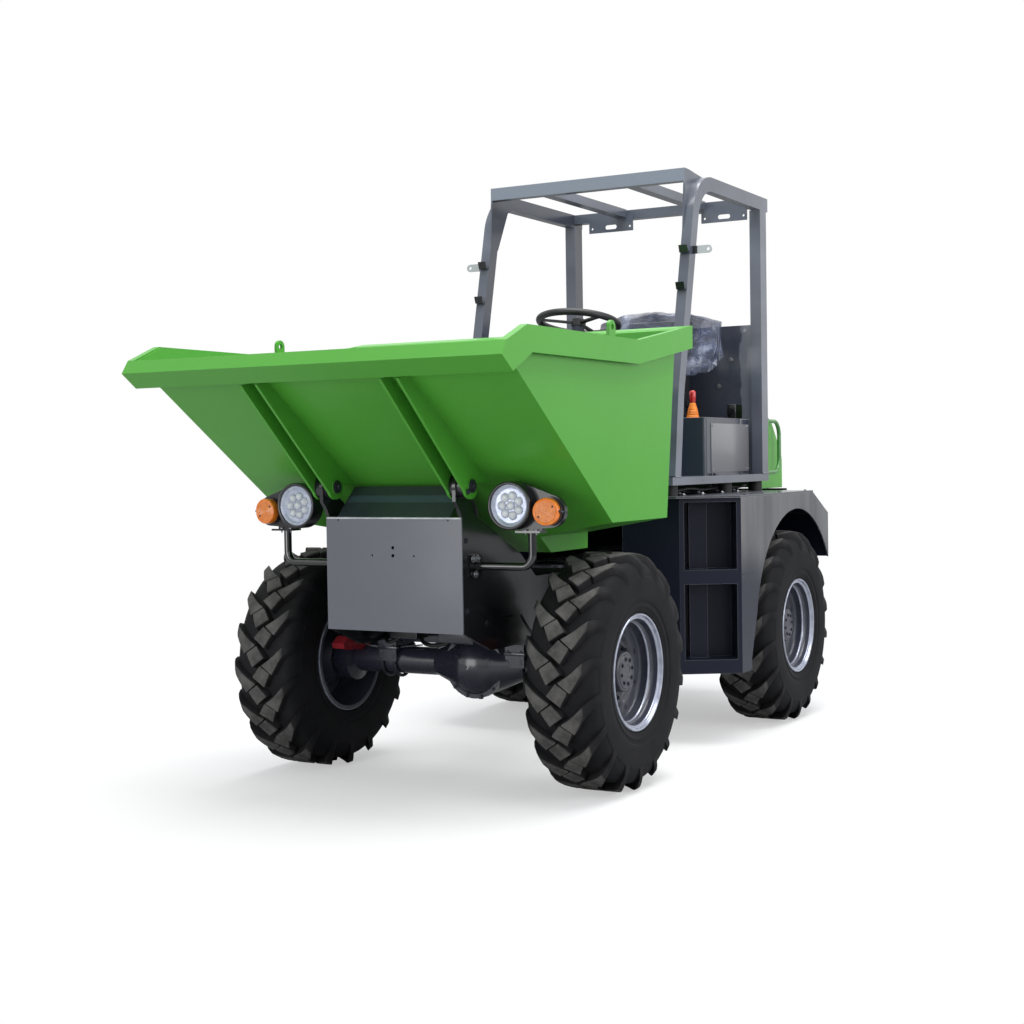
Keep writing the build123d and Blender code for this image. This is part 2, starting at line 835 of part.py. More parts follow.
rib_top = (front_x + 1000, 1660)
with BuildPart() as skip_ribs:
    for y in (-rib_outer_y, -rib_inner_y, rib_inner_y, rib_outer_y):
        with BuildSketch(side_plane(y)):
            with BuildLine():
                Polyline(
                    rib_top,
                    (pivot_x + rib_ear * 0.93, pivot_z - rib_ear * 0.4),
                    (pivot_x, pivot_z),
                    (pivot_x - rib_ear * 0.9, pivot_z + 10),
                    (wall_x(pivot_z + 10), pivot_z + 10),
                    (wall_x(1672) - 2, 1672),
                    close=True,
                )
            make_face()
            with Locations((pivot_x, pivot_z)):
                Circle(rib_ear)
            with Locations((pivot_x, pivot_z)):
                Circle(pin_radius + fit_gap, mode=Mode.SUBTRACT)
        extrude(amount=rib_plate / 2, both=True)
    # Lugs of the tipping cylinder's rod, under the floor
    for y in (-ram_eye_width / 2 - plate / 2 - side_gap, ram_eye_width / 2 + plate / 2 + side_gap):
        with BuildSketch(side_plane(y)):
            with Locations(ram_eye):
                Circle(ram_lug)
            with BuildLine():
                Polyline(
                    (ram_eye[0] - ram_lug, ram_eye[1]),
                    (ram_eye[0] + ram_lug, ram_eye[1]),
                    (ram_eye[0] + ram_lug + 60, skip_floor),
                    (ram_eye[0] - ram_lug, skip_floor),
                    close=True,
                )
            make_face()
        extrude(amount=plate / 2, both=True)
    add(skip_outer, mode=Mode.SUBTRACT)
save(skip_ribs, "skip_ribs")

eye_x = front_x + 145
eye_height = 75
eye_inset = 14.7
with BuildPart() as lifting_eyes:
    for y in (-wall_top_y + eye_inset, wall_top_y - eye_inset):
        with BuildSketch(side_plane(y)):
            with Locations((eye_x, side_top - 30 + eye_height / 2)):
                Rectangle(56, eye_height)
            with Locations((eye_x, side_top - 30 + eye_height)):
                Circle(28)
            with Locations((eye_x, side_top - 30 + eye_height)):
                Circle(13, mode=Mode.SUBTRACT)
        extrude(amount=7, both=True)
    add(skip_tub.part, mode=Mode.SUBTRACT)
    add(skip_rim.part, mode=Mode.SUBTRACT)
save(lifting_eyes, "lifting_eyes")

# ---------------------------------------------------------------- cylinders
tip_reach = hypot(ram_eye[0] - ram_foot[0], ram_eye[1] - ram_foot[1])
tip_plane = Plane(
    origin=(ram_foot[0], 0, ram_foot[1]),
    x_dir=(0, 1, 0),
    z_dir=(ram_eye[0] - ram_foot[0], 0, ram_eye[1] - ram_foot[1]),
)
steer_reach = hypot(steer_eye[0] - steer_foot[0], steer_eye[1] - steer_foot[1])
steer_plane = Plane(
    origin=(steer_foot[0], steer_foot[1], steer_ram_z),
    x_dir=(0, 0, 1),
    z_dir=(steer_eye[0] - steer_foot[0], steer_eye[1] - steer_foot[1], 0),
)
steer_stroke = 243
for name, place, reach, stroke, barrel_radius, rod_radius, eye_width, eye_radius, pin in (
    ("tip", tip_plane, tip_reach, 0, ram_radius, ram_rod_radius, ram_eye_width, ram_lug - 4,
     pin_radius - 5),
    ("steer", steer_plane, steer_reach, steer_stroke / 2, steer_ram_radius, steer_rod_radius,
     steer_eye_width, steer_lug - 4, steer_pin),
):
    barrel_end = reach - stroke - eye_radius - 28
    eye_plane = Plane(origin=place.origin, x_dir=place.z_dir, z_dir=place.x_dir)
    with BuildPart() as barrel:
        with BuildSketch(place.offset(eye_radius + 10)):
            Circle(barrel_radius)
        extrude(amount=barrel_end - eye_radius - 10)
        with BuildSketch(eye_plane):
            Circle(eye_radius)
            with Locations((eye_radius / 2 + 6, 0)):
                Rectangle(eye_radius + 12, 2 * eye_radius)
        extrude(amount=eye_width / 2, both=True)
        with BuildSketch(place.offset(barrel_end)):
            Circle(rod_radius + fit_gap)
        extrude(amount=-(barrel_end - eye_radius - 20), mode=Mode.SUBTRACT)
        with BuildSketch(eye_plane):
            Circle(pin + fit_gap)
        extrude(amount=eye_width / 2, both=True, mode=Mode.SUBTRACT)
    save(barrel, f"{name}_barrel")
    tip_of_rod = Plane(
        origin=place.origin + place.z_dir * reach, x_dir=place.z_dir, z_dir=place.x_dir
    )
    with BuildPart() as rod:
        with BuildSketch(place.offset(reach - eye_radius + 2)):
            Circle(rod_radius)
        extrude(amount=-(barrel_end - eye_radius - 25 - stroke))
        with BuildSketch(tip_of_rod):
            Circle(eye_radius)
        extrude(amount=eye_width / 2, both=True)
    save(rod, f"{name}_rod")

# ---------------------------------------------------------------- rear frame
fork_low = tongue_bottom - fork_gap - fork_plate
fork_high = tongue_top + fork_gap
with BuildPart() as rear_frame:
    for y in (-rail_half + plate / 2, rail_half - plate / 2):
        with BuildSketch(side_plane(y)):
            with Locations(((rail_front + bumper_x + 2 * sheet) / 2, (rail_bottom + rail_top) / 2)):
                Rectangle(rail_front - bumper_x - 2 * sheet, rail_top - rail_bottom)
        extrude(amount=plate / 2, both=True)
    for x in (fork_cross_x, rear_x - rear_cross_setback):
        with BuildSketch(Plane.YZ.offset(x)):
            with Locations((0, (rail_bottom + rail_top) / 2)):
                Rectangle(2 * rail_half - plate, rail_top - rail_bottom)
        extrude(amount=plate / 2, both=True)
    # Fork plates round the tongue, with the kingpin
    for z in (fork_low, fork_high):
        with BuildSketch(Plane.XY.offset(z)):
            with BuildLine():
                Polyline(
                    (fork_cross_x, -rail_half + plate / 2),
                    (fork_cross_x, rail_half - plate / 2),
                    (rail_front, rail_half - plate / 2),
                    (steer_x, bush_radius),
                    (steer_x, -bush_radius),
                    (rail_front, -rail_half + plate / 2),
                    close=True,
                )
            make_face()
            with Locations((steer_x, 0)):
                Circle(bush_radius)
        extrude(amount=fork_plate)
    with BuildSketch(Plane.XY.offset(fork_low - 12)):
        with Locations((steer_x, 0)):
            Circle(kingpin_radius)
    extrude(amount=fork_high + fork_plate + 12 - (fork_low - 12))
    # Lugs and pin of the steering cylinder's barrel
    for z in (
        steer_ram_z - steer_eye_width / 2 - plate - side_gap,
        steer_ram_z + steer_eye_width / 2 + side_gap,
    ):
        with BuildSketch(Plane.XY.offset(z)):
            with Locations(steer_foot):
                Circle(steer_lug)
            with Locations(((steer_foot[0] + fork_cross_x) / 2, steer_foot[1])):
                Rectangle(steer_foot[0] - fork_cross_x, 2 * steer_lug)
        extrude(amount=plate)
    with BuildSketch(Plane.XY.offset(steer_ram_z)):
        with Locations(steer_foot):
            Circle(steer_pin)
    extrude(amount=steer_eye_width / 2 + plate + side_gap + 4, both=True)
save(rear_frame, "rear_frame")

engine_front_x = rear_x - roof_end
with BuildPart() as engine_block:
    with BuildSketch(Plane.XY.offset(rail_bottom + 30)):
        with Locations(((engine_front_x + bumper_x + 60) / 2, 0)):
            Rectangle(engine_front_x - bumper_x - 60, 2 * (rail_half - plate) - 0.6)
    extrude(amount=rail_top - rail_bottom - 30)
    with BuildSketch(Plane.XY.offset(rail_top)):
        with Locations(((engine_front_x + bumper_x + 60) / 2, 0)):
            Rectangle(engine_front_x - bumper_x - 100, 420)
    extrude(amount=480)
save(engine_block, "engine_block")

# ---------------------------------------------------------------- side bodies
deck_bottom = deck_top - deck_thick
face_run = cabinet_front_x - cabinet_side_x
face_rise = side_y - cabinet_corner_y
face_length = hypot(face_run, face_rise)
face_middle = ((cabinet_front_x + cabinet_side_x) / 2, (cabinet_corner_y + side_y) / 2)
for side, side_name in ((1, "left"), (-1, "right")):
    with BuildPart() as side_body:
        # Step cabinet
        with BuildSketch(Plane.XY.offset(cabinet_bottom)):
            with BuildLine():
                Polyline(
                    (cabinet_front_x, side * rail_half),
                    (cabinet_front_x, side * cabinet_corner_y),
                    (cabinet_side_x, side * side_y),
                    (cabinet_rear_x, side * side_y),
                    (cabinet_rear_x, side * rail_half),
                    close=True,
                )
            make_face()
        extrude(amount=deck_bottom - cabinet_bottom)
        pocket_plane = Plane(
            origin=(face_middle[0], side * face_middle[1], 0),
            x_dir=(-face_run, side * face_rise, 0),
            z_dir=(face_rise, side * face_run, 0),
        )
        up = 1 if pocket_plane.y_dir.Z > 0 else -1
        with BuildSketch(pocket_plane):
            for bottom, top in pocket_levels:
                with Locations((0, up * (bottom + top) / 2)):
                    Rectangle(face_length - 3.2 * pocket_inset, top - bottom)
        extrude(amount=-pocket_depth, mode=Mode.SUBTRACT)
        with BuildSketch(pocket_plane.offset(-pocket_depth)):
            for bottom, top in pocket_levels:
                with Locations((-pocket_rib_width / 2, up * (bottom + top) / 2)):
                    Rectangle(pocket_rib_width, top - bottom)
        extrude(amount=pocket_rib_depth)
        # Skirt with the wheel arch
        with BuildSketch(side_plane(side * (side_y - side_sheet / 2))):
            with BuildLine():
                Polyline(
                    (cabinet_side_x - 10, cabinet_bottom),
                    (cabinet_side_x - 10, deck_bottom),
                    (fender_slope_x, deck_bottom),
                    (fender_rear_x, fender_rear_top),
                    (fender_rear_x, fender_rear_bottom),
                    (rear_x, cabinet_bottom),
                    close=True,
                )
            make_face()
            with Locations((rear_x, tyre_radius)):
                Circle(arch_radius, mode=Mode.SUBTRACT)
            with BuildLine():
                Polyline(
                    (arch_foot_x, cabinet_bottom),
                    (rear_x + arch_radius * cos(arch_turn), tyre_radius + arch_radius * sin(arch_turn)),
                    (rear_x, tyre_radius),
                    (rear_x, cabinet_bottom - 20),
                    (arch_foot_x, cabinet_bottom - 20),
                    close=True,
                )
            make_face(mode=Mode.SUBTRACT)
        extrude(amount=side_sheet / 2, both=True)
        # Fender top behind the deck, and its rear flange
        with BuildSketch(side_plane(side * (wheelhouse_y + side_y) / 2)):
            with BuildLine():
                Polyline(
                    (fender_slope_x + 4, deck_bottom - side_sheet / 2),
                    (fender_slope_x, deck_bottom - side_sheet / 2),
                    (fender_rear_x + side_sheet / 2, fender_rear_top),
                    (fender_rear_x + side_sheet / 2, fender_rear_bottom),
                )
            trace(line_width=side_sheet)
        extrude(amount=(side_y - wheelhouse_y) / 2, both=True)
        # Inner wheelhouse wall, its shelf on the rail
        with BuildSketch(side_plane(side * (wheelhouse_y + side_sheet / 2))):
            with BuildLine():
                Polyline(
                    (cabinet_rear_x, rail_top),
                    (cabinet_rear_x, deck_bottom),
                    (bumper_x + sheet, deck_bottom),
                    (bumper_x + sheet, rail_top),
                    close=True,
                )
            make_face()
        extrude(amount=side_sheet / 2, both=True)
        with BuildSketch(Plane.XY.offset(rail_top)):
            with Locations(((cabinet_rear_x + bumper_x + sheet) / 2,
                            side * (rail_half - plate + wheelhouse_y + side_sheet) / 2)):
                Rectangle(cabinet_rear_x - bumper_x - sheet,
                          wheelhouse_y + side_sheet - rail_half + plate)
        extrude(amount=side_sheet)
    save(side_body, f"side_body_{side_name}")

with BuildPart() as deck_plate:
    with BuildSketch(Plane.XY.offset(deck_bottom)):
        with BuildLine():
            Polyline(
                (deck_front_x, -cabinet_corner_y),
                (deck_front_x, cabinet_corner_y),
                (cabinet_side_x + 10, side_y),
                (fender_slope_x, side_y),
                (fender_slope_x, wheelhouse_y + side_sheet),
                (bonnet_front_x + 12, wheelhouse_y + side_sheet),
                (bonnet_front_x + 12, -wheelhouse_y - side_sheet),
                (fender_slope_x, -wheelhouse_y - side_sheet),
                (fender_slope_x, -side_y),
                (cabinet_side_x + 10, -side_y),
                close=True,
            )
        make_face()
    extrude(amount=deck_thick)
save(deck_plate, "deck_plate")

hitch_pin_radius = 15
hitch_z = 700
hitch_ear = 20
hitch_gap = 60
hitch_reach_x = rear_x - hitch_reach
tail_lamp_z = 1085
with BuildPart() as rear_bumper:
    with BuildSketch(Plane.YZ.offset(bumper_x)):
        with Locations((0, (rail_bottom + deck_top) / 2)):
            Rectangle(2 * bumper_half, deck_top - rail_bottom)
    extrude(amount=sheet)
    with BuildSketch(Plane.YZ.offset(bumper_x)):
        with Locations((0, hitch_z)):
            Rectangle(220, 200)
    extrude(amount=12)
    for z in (hitch_z - hitch_gap / 2 - hitch_ear, hitch_z + hitch_gap / 2):
        with BuildSketch(Plane.XY.offset(z)):
            with Locations(((bumper_x + hitch_reach_x + 40) / 2, 0)):
                Rectangle(bumper_x - hitch_reach_x - 40, 120)
            with Locations((hitch_reach_x + 40, 0)):
                SlotOverall(120, 80, rotation=90)
            with Locations((hitch_reach_x + 40, 0)):
                Circle(hitch_pin_radius + 1, mode=Mode.SUBTRACT)
        extrude(amount=hitch_ear)
    # Tail lamp housings
    for y in (-bumper_half + 85, bumper_half - 85):
        with BuildSketch(Plane.YZ.offset(bumper_x)):
            with Locations((y, tail_lamp_z)):
                RectangleRounded(130, 70, 12)
        extrude(amount=-26)
    # Hinge lugs and pins of the bonnet
    for y in (-hinge_y, hinge_y):
        for side in (-1, 1):
            lug_y = y + side * (hinge_width / 2 + side_gap + hinge_lug_width / 2)
            with BuildSketch(side_plane(lug_y)):
                with Locations((hinge_x, hinge_z)):
                    Circle(hinge_radius)
                with Locations((hinge_x, (hinge_z + deck_top - 35) / 2)):
                    Rectangle(2 * hinge_radius, hinge_z - deck_top + 35)
            extrude(amount=hinge_lug_width / 2, both=True)
        with BuildSketch(side_plane(y)):
            with Locations((hinge_x, hinge_z)):
                Circle(hinge_pin)
        extrude(amount=hinge_width / 2 + side_gap + hinge_lug_width, both=True)
save(rear_bumper, "rear_bumper")

# ---------------------------------------------------------------- bonnet
slot_length = 300
slot_height = 14
slot_pitch = 30
slot_rows = 5
slot_z = 1295
with BuildPart() as bonnet:
    with BuildSketch(side_plane(0)):
        with BuildLine():
            FilletPolyline(
                (bonnet_front_x, bonnet_top - bonnet_sheet / 2),
                (bonnet_rear_x + 170, bonnet_top - bonnet_slope),
                (bonnet_rear_x + bonnet_sheet / 2, bonnet_top - bonnet_slope - 190),
                (bonnet_rear_x + bonnet_sheet / 2, bonnet_bottom),
                radius=bonnet_bend,
            )
        trace(line_width=bonnet_sheet)
    extrude(amount=bonnet_half, both=True)
    for side in (-1, 1):
        with BuildSketch(side_plane(side * (bonnet_half - bonnet_sheet))):
            with BuildLine() as side_edge:
                FilletPolyline(
                    (bonnet_front_x, bonnet_top - bonnet_sheet / 2),
                    (bonnet_rear_x + 170, bonnet_top - bonnet_slope),
                    (bonnet_rear_x + bonnet_sheet / 2, bonnet_top - bonnet_slope - 190),
                    (bonnet_rear_x + bonnet_sheet / 2, bonnet_bottom),
                    radius=bonnet_bend,
                )
                Polyline(
                    (bonnet_rear_x + bonnet_sheet / 2, bonnet_bottom),
                    (bonnet_front_x, bonnet_bottom),
                    (bonnet_front_x, bonnet_top - bonnet_sheet / 2),
                )
            make_face()
        extrude(amount=-side * bonnet_sheet)
    for y in (-hinge_y, hinge_y):
        with BuildSketch(side_plane(y)):
            with Locations((hinge_x, hinge_z)):
                Circle(hinge_radius)
            with Locations(((hinge_x + bonnet_rear_x + 1) / 2,
                            (bonnet_bottom + hinge_z + hinge_radius) / 2)):
                Rectangle(bonnet_rear_x + 1 - hinge_x, hinge_z + hinge_radius - bonnet_bottom)
            with Locations((hinge_x, hinge_z)):
                Circle(hinge_pin + fit_gap, mode=Mode.SUBTRACT)
        extrude(amount=hinge_width / 2, both=True)
    # Air slots in the rear face
    with BuildSketch(Plane.YZ.offset(bonnet_rear_x)):
        with Locations((0, slot_z)):
            with GridLocations(slot_length + 50, slot_pitch, 2, slot_rows):
                Rectangle(slot_length, slot_height)
    extrude(amount=bonnet_sheet, mode=Mode.SUBTRACT)
save(bonnet, "bonnet")

handle_y = bonnet_half + 40
handle_front_x = bonnet_front_x - 90
handle_rear_x = bonnet_front_x - 300
handle_bend = 80
handle_radius = 11
with BuildPart() as bonnet_handles:
    for side in (-1, 1):
        add(bent_tube(
            (
                (handle_front_x, side * handle_y, 1550),
                (handle_rear_x, side * handle_y, 1550),
                (handle_rear_x, side * handle_y, 1270),
                (handle_front_x, side * handle_y, 1270),
            ),
            handle_bend,
            handle_radius,
        ))
        for z in (1270, 1550):
            with BuildSketch(side_plane(side * bonnet_half)):
                with Locations((handle_front_x, z)):
                    Circle(handle_radius + 3)
            extrude(amount=-side * (handle_y + handle_radius + 3 - bonnet_half))
save(bonnet_handles, "bonnet_handles")

# ---------------------------------------------------------------- cab
with BuildPart() as cab_mounts:
    with BuildSketch(Plane.XY.offset(deck_top)):
        for x in (cab_front_x - 100, rear_x + 167, cab_rear_x + 60):
            for y in (-cab_half + 55, cab_half - 55):
                with Locations((x, y)):
                    Circle(mount_radius)
    extrude(amount=cab_bottom - deck_top)
save(cab_mounts, "cab_mounts")

with BuildPart() as cab_base:
    with BuildSketch(Plane.XY.offset(cab_bottom)):
        with Locations(((cab_front_x + cab_rear_x) / 2, 0)):
            Rectangle(cab_front_x - cab_rear_x, 2 * cab_half)
            Rectangle(cab_front_x - cab_rear_x - 2 * cab_tube, 2 * (cab_half - cab_tube),
                      mode=Mode.SUBTRACT)
    extrude(amount=cab_top - cab_bottom)
    with BuildSketch(Plane.XY.offset(cab_top - 8)):
        with Locations(((cab_front_x + cab_rear_x) / 2, 0)):
            Rectangle(cab_front_x - cab_rear_x - cab_tube, 2 * cab_half - cab_tube)
    extrude(amount=8)
save(cab_base, "cab_base")

post_y = cab_half - post_width / 2
header_y = cab_half - post_width
with BuildPart() as rops_front_posts:
    for side in (-1, 1):
        with BuildSketch(side_plane(side * post_y)):
            with BuildLine():
                FilletPolyline(
                    (post_foot_x, cab_top),
                    post_knee,
                    (roof_corner_x, roof_z),
                    (roof_end_x, roof_z),
                    radius=(400, roof_bend),
                )
            trace(line_width=post_depth)
        extrude(amount=post_width / 2, both=True)
        with BuildSketch(Plane.XY.offset(cab_top - 100)):
            with Locations((post_foot_x, side * post_y)):
                Rectangle(300, 100)
        extrude(amount=100, mode=Mode.SUBTRACT)
        # Gusset that carries the front header
        with BuildSketch(side_plane(side * (header_y + 4))):
            with BuildLine():
                Polyline(
                    (header_front_x, header_top),
                    (header_front_x, header_top - header_height),
                    (roof_corner_x + 95, roof_z - 260),
                    (roof_corner_x + 20, roof_z - 260),
                    (roof_corner_x - 120, roof_z),
                    (roof_corner_x - 150, roof_z + post_depth / 2),
                    (header_front_x - header_depth, header_top),
                    close=True,
                )
            make_face()
        extrude(amount=4, both=True)
save(rops_front_posts, "rops_front_posts")

with BuildPart() as rops_rear_posts:
    for side in (-1, 1):
        with BuildSketch(Plane.XY.offset(cab_top)):
            with Locations((rear_post_x, side * (cab_half - rear_post_width / 2))):
                Rectangle(rear_post_depth, rear_post_width)
        extrude(amount=roof_z - post_depth / 2 - cab_top)
save(rops_rear_posts, "rops_rear_posts")

with BuildPart() as rops_cross_members:
    with BuildSketch(side_plane(0)):
        with Locations((header_front_x - header_depth / 2, header_top - header_height / 2)):
            Rectangle(header_depth, header_height)
        with Locations((header_front_x - header_depth / 2 - 4, header_top - header_height / 2 - 4)):
            Rectangle(header_depth, header_height - 16, mode=Mode.SUBTRACT)
    extrude(amount=header_y, both=True)
    with BuildSketch(side_plane(0)):
        with Locations((rear_post_x, roof_z + 8)):
            Rectangle(60, 50)
    extrude(amount=header_y, both=True)
    for y in (-roof_bar_y, roof_bar_y):
        with BuildSketch(side_plane(y)):
            with Locations(((header_front_x - header_depth + rear_post_x + 30) / 2 + 24, roof_z + 15)):
                Rectangle(header_front_x - header_depth - rear_post_x + 18, roof_bar_height)
        extrude(amount=roof_bar_width / 2, both=True)
    for y, width in ((-300, 270), (372, 262)):
        with BuildSketch(Plane.YZ.offset(rear_post_x + 30)):
            with Locations((y, roof_z - 35)):
                Rectangle(width, 90)
            with Locations((y - width / 2 + 20, roof_z - 55), (y + width / 2 - 20, roof_z - 55)):
                Circle(6, mode=Mode.SUBTRACT)
            with Locations((y, roof_z - 52)):
                SlotOverall(70, 24, mode=Mode.SUBTRACT)
        extrude(amount=4)
save(rops_cross_members, "rops_cross_members")

rear_panel_top = 2060
with BuildPart() as rear_panel:
    with BuildSketch(Plane.YZ.offset(rear_post_x + 20)):
        with Locations((0, (cab_top + rear_panel_top) / 2)):
            Rectangle(2 * (cab_half - rear_post_width), rear_panel_top - cab_top)
        with Locations((440, 1600)):
            Rectangle(40, 70, mode=Mode.SUBTRACT)
    extrude(amount=5)
save(rear_panel, "rear_panel")

seat_box_front_x = rear_x + 387
seat_box_rear_x = rear_x - 103
seat_box_top = 1555
with BuildPart() as seat_box:
    with BuildSketch(Plane.XY.offset(cab_top)):
        with Locations(((seat_box_front_x + seat_box_rear_x) / 2, 0)):
            Rectangle(seat_box_front_x - seat_box_rear_x, 2 * 510)
    extrude(amount=seat_box_top - cab_top)
    fillet(seat_box.edges().filter_by(Axis.Z), 20)
save(seat_box, "seat_box")

seat_half = 250
seat_front_x = seat_box_front_x - 20
seat_rear_x = seat_front_x - 440
seat_top = 2110
with BuildPart() as seat_cushion:
    with BuildSketch(side_plane(0)):
        with BuildLine():
            Polyline(
                (seat_front_x, seat_box_top),
                (seat_front_x, seat_box_top + 130),
                (seat_rear_x, seat_box_top + 110),
                (seat_rear_x, seat_box_top),
                close=True,
            )
        make_face()
    extrude(amount=seat_half, both=True)
save(seat_cushion, "seat_cushion")

with BuildPart() as seat_back:
    with BuildSketch(side_plane(0)):
        with BuildLine():
            Polyline(
                (seat_rear_x + 110, seat_box_top + 130),
                (seat_rear_x + 30, seat_top),
                (seat_rear_x - 90, seat_top),
                (seat_rear_x - 20, seat_box_top + 40),
                (seat_rear_x - fit_gap, seat_box_top + 40),
                (seat_rear_x - fit_gap, seat_box_top + 130),
                close=True,
            )
        make_face()
    extrude(amount=seat_half, both=True)
save(seat_back, "seat_back")

lever_place = (seat_box_front_x - 140, 385)
with BuildPart() as drive_lever:
    with BuildSketch(Plane.XY.offset(seat_box_top)):
        with Locations(lever_place):
            Circle(34)
    extrude(amount=75, taper=16)
    with BuildSketch(Plane.XY.offset(seat_box_top + 70)):
        with Locations(lever_place):
            Circle(12)
    extrude(amount=50)
    with Locations((*lever_place, seat_box_top + 125)):
        Sphere(22)
save(drive_lever, "drive_lever")

wheel_hub = (cab_front_x - 200, 2030)
wheel_tilt = 12
with BuildPart() as dash_console:
    with BuildSketch(side_plane(0)):
        with BuildLine():
            Polyline(
                (cab_front_x - 30, cab_top),
                (cab_front_x - 60, 1820),
                (cab_front_x - 200, 1880),
                (cab_front_x - 250, 1780),
                (cab_front_x - 170, 1600),
                (cab_front_x - 170, cab_top),
                close=True,
            )
        make_face()
    extrude(amount=240, both=True)
    column_foot = Plane(
        origin=(wheel_hub[0], 0, wheel_hub[1]),
        x_dir=(0, 1, 0),
        z_dir=(sin(radians(-wheel_tilt)), 0, cos(radians(wheel_tilt))),
    )
    with BuildSketch(column_foot.offset(-230)):
        Circle(32)
    extrude(amount=230 - 20.3)
save(dash_console, "dash_console")

steering_wheel_radius = 195
steering_rim_radius = 17
with BuildPart() as steering_wheel:
    with BuildSketch(Plane(origin=column_foot.origin, x_dir=column_foot.x_dir,
                           z_dir=column_foot.y_dir)):
        with Locations((steering_wheel_radius, 0)):
            Circle(steering_rim_radius)
    revolve(axis=Axis(column_foot.origin, column_foot.z_dir))
    with BuildSketch(column_foot.offset(-20)):
        Circle(36)
    extrude(amount=34)
    with BuildSketch(column_foot.offset(-6)):
        for turn in (90, 210, 330):
            with Locations(Rotation(0, 0, turn)):
                with Locations((steering_wheel_radius / 2, 0)):
                    Rectangle(steering_wheel_radius, 26)
    extrude(amount=8)
save(steering_wheel, "steering_wheel")

tab_length = 80
tab_height = 38
tab_z = 2352
with BuildPart() as post_brackets:
    lean = atan2(post_knee[0] - roof_corner_x, roof_z - post_knee[1])
    for side in (-1, 1):
        for z in (2180, 2360):
            x = post_knee[0] - (z - post_knee[1]) * tan(lean) + post_depth / 2 / cos(lean) + 1
            with BuildSketch(side_plane(side * post_y)):
                with BuildLine():
                    Polyline((x - 8, z - 22), (x + 22, z - 22), (x + 34, z + 12), (x + 30, z + 12),
                             (x + 18, z - 16), (x - 8, z - 16), close=True)
                make_face()
            extrude(amount=22, both=True)
        # Tab with a hole, outward from the upper clip
        tab_x = post_knee[0] - (tab_z - post_knee[1]) * tan(lean)
        with BuildSketch(Plane.YZ.offset(tab_x)):
            with Locations((side * (cab_half + tab_length / 2), tab_z)):
                Rectangle(tab_length, tab_height)
            with Locations((side * (cab_half + tab_length), tab_z)):
                Circle(tab_height / 2)
                Circle(8, mode=Mode.SUBTRACT)
        extrude(amount=5)
    add(rops_front_posts.part, mode=Mode.SUBTRACT)
save(post_brackets, "post_brackets")
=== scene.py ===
from math import copysign, cos, exp, hypot, pi, radians, sin

import bmesh
import bpy
from mathutils import Matrix, Vector, noise


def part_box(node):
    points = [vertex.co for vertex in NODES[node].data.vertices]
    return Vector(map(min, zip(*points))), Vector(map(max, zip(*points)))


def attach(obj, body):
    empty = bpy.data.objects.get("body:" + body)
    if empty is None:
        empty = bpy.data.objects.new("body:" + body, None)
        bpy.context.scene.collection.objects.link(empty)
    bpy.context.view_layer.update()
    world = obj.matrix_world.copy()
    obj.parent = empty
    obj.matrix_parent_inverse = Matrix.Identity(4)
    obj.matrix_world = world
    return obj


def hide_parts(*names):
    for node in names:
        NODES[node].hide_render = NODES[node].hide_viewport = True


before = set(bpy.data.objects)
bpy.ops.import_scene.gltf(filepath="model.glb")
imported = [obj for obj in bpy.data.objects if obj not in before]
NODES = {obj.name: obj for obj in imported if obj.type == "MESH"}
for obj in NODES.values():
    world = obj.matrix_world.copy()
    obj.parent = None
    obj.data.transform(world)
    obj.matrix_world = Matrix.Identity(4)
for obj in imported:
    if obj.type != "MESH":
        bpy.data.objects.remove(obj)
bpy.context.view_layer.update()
scene = bpy.context.scene

# Places shared with the frame, in metres
low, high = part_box("tyre_front_left")
FX = (low.x + high.x) / 2
low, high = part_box("tyre_rear_left")
RX = (low.x + high.x) / 2
WZ = (low.z + high.z) / 2
WHEEL_Y = 0.71
PIVOT_X, PIVOT_Z = 1.376, 1.257  # the skip's tipping pivot
DECK_TOP = 1.175
PANEL_X = -1.339  # front face of the rear panel
UP, DOWN = (0, 0, 1), (0, 0, -1)
SIDES = (1, -1)  # left, right


# ---- mesh helpers
def ring(n, radius=1.0, shift=0.0):
    """Places round a circle: the angle, and the two distances from its centre."""
    for i in range(n):
        a = 2 * pi * i / n + shift
        yield a, radius * cos(a), radius * sin(a)


def span(side, near, far):
    """The lower and upper Y between two distances on one side."""
    return sorted((side * near, side * far))


def hand(side, *points):
    """The points on one side of the machine."""
    return [(x, side * y, z) for x, y, z in points]


def side_plane(half):
    """Turns an outline of (X, Z) to stand upright, starting this far on the right."""
    return Matrix(((1, 0, 0, 0), (0, 0, 1, -half), (0, 1, 0, 0), (0, 0, 0, 1)))


def aim(place, normal, turn=0.0):
    """A frame at this place whose Z looks along the normal."""
    z = Vector(normal).normalized()
    x = Vector((0, 0, 1)).cross(z)
    if x.length < 1e-6:
        x = Vector((1, 0, 0))
    x.normalize()
    y = z.cross(x)
    m = Matrix((x, y, z)).transposed().to_4x4()
    return Matrix.Translation(place) @ m @ Matrix.Rotation(turn, 4, "Z")


def soften(bm, degrees):
    """Outward normals and smooth faces, with edges sharp past this angle."""
    bmesh.ops.recalc_face_normals(bm, faces=bm.faces[:])
    limit = radians(degrees)
    for e in bm.edges:
        if len(e.link_faces) == 2 and e.calc_face_angle(0) > limit:
            e.smooth = False
    for f in bm.faces:
        f.smooth = True


def into_mesh(bm, name):
    """The form as a mesh; the form is freed."""
    mesh = bpy.data.meshes.new(name)
    bm.to_mesh(mesh)
    bm.free()
    return mesh


def placed(name, data):
    """A new object in the scene."""
    o = bpy.data.objects.new(name, data)
    scene.collection.objects.link(o)
    return o


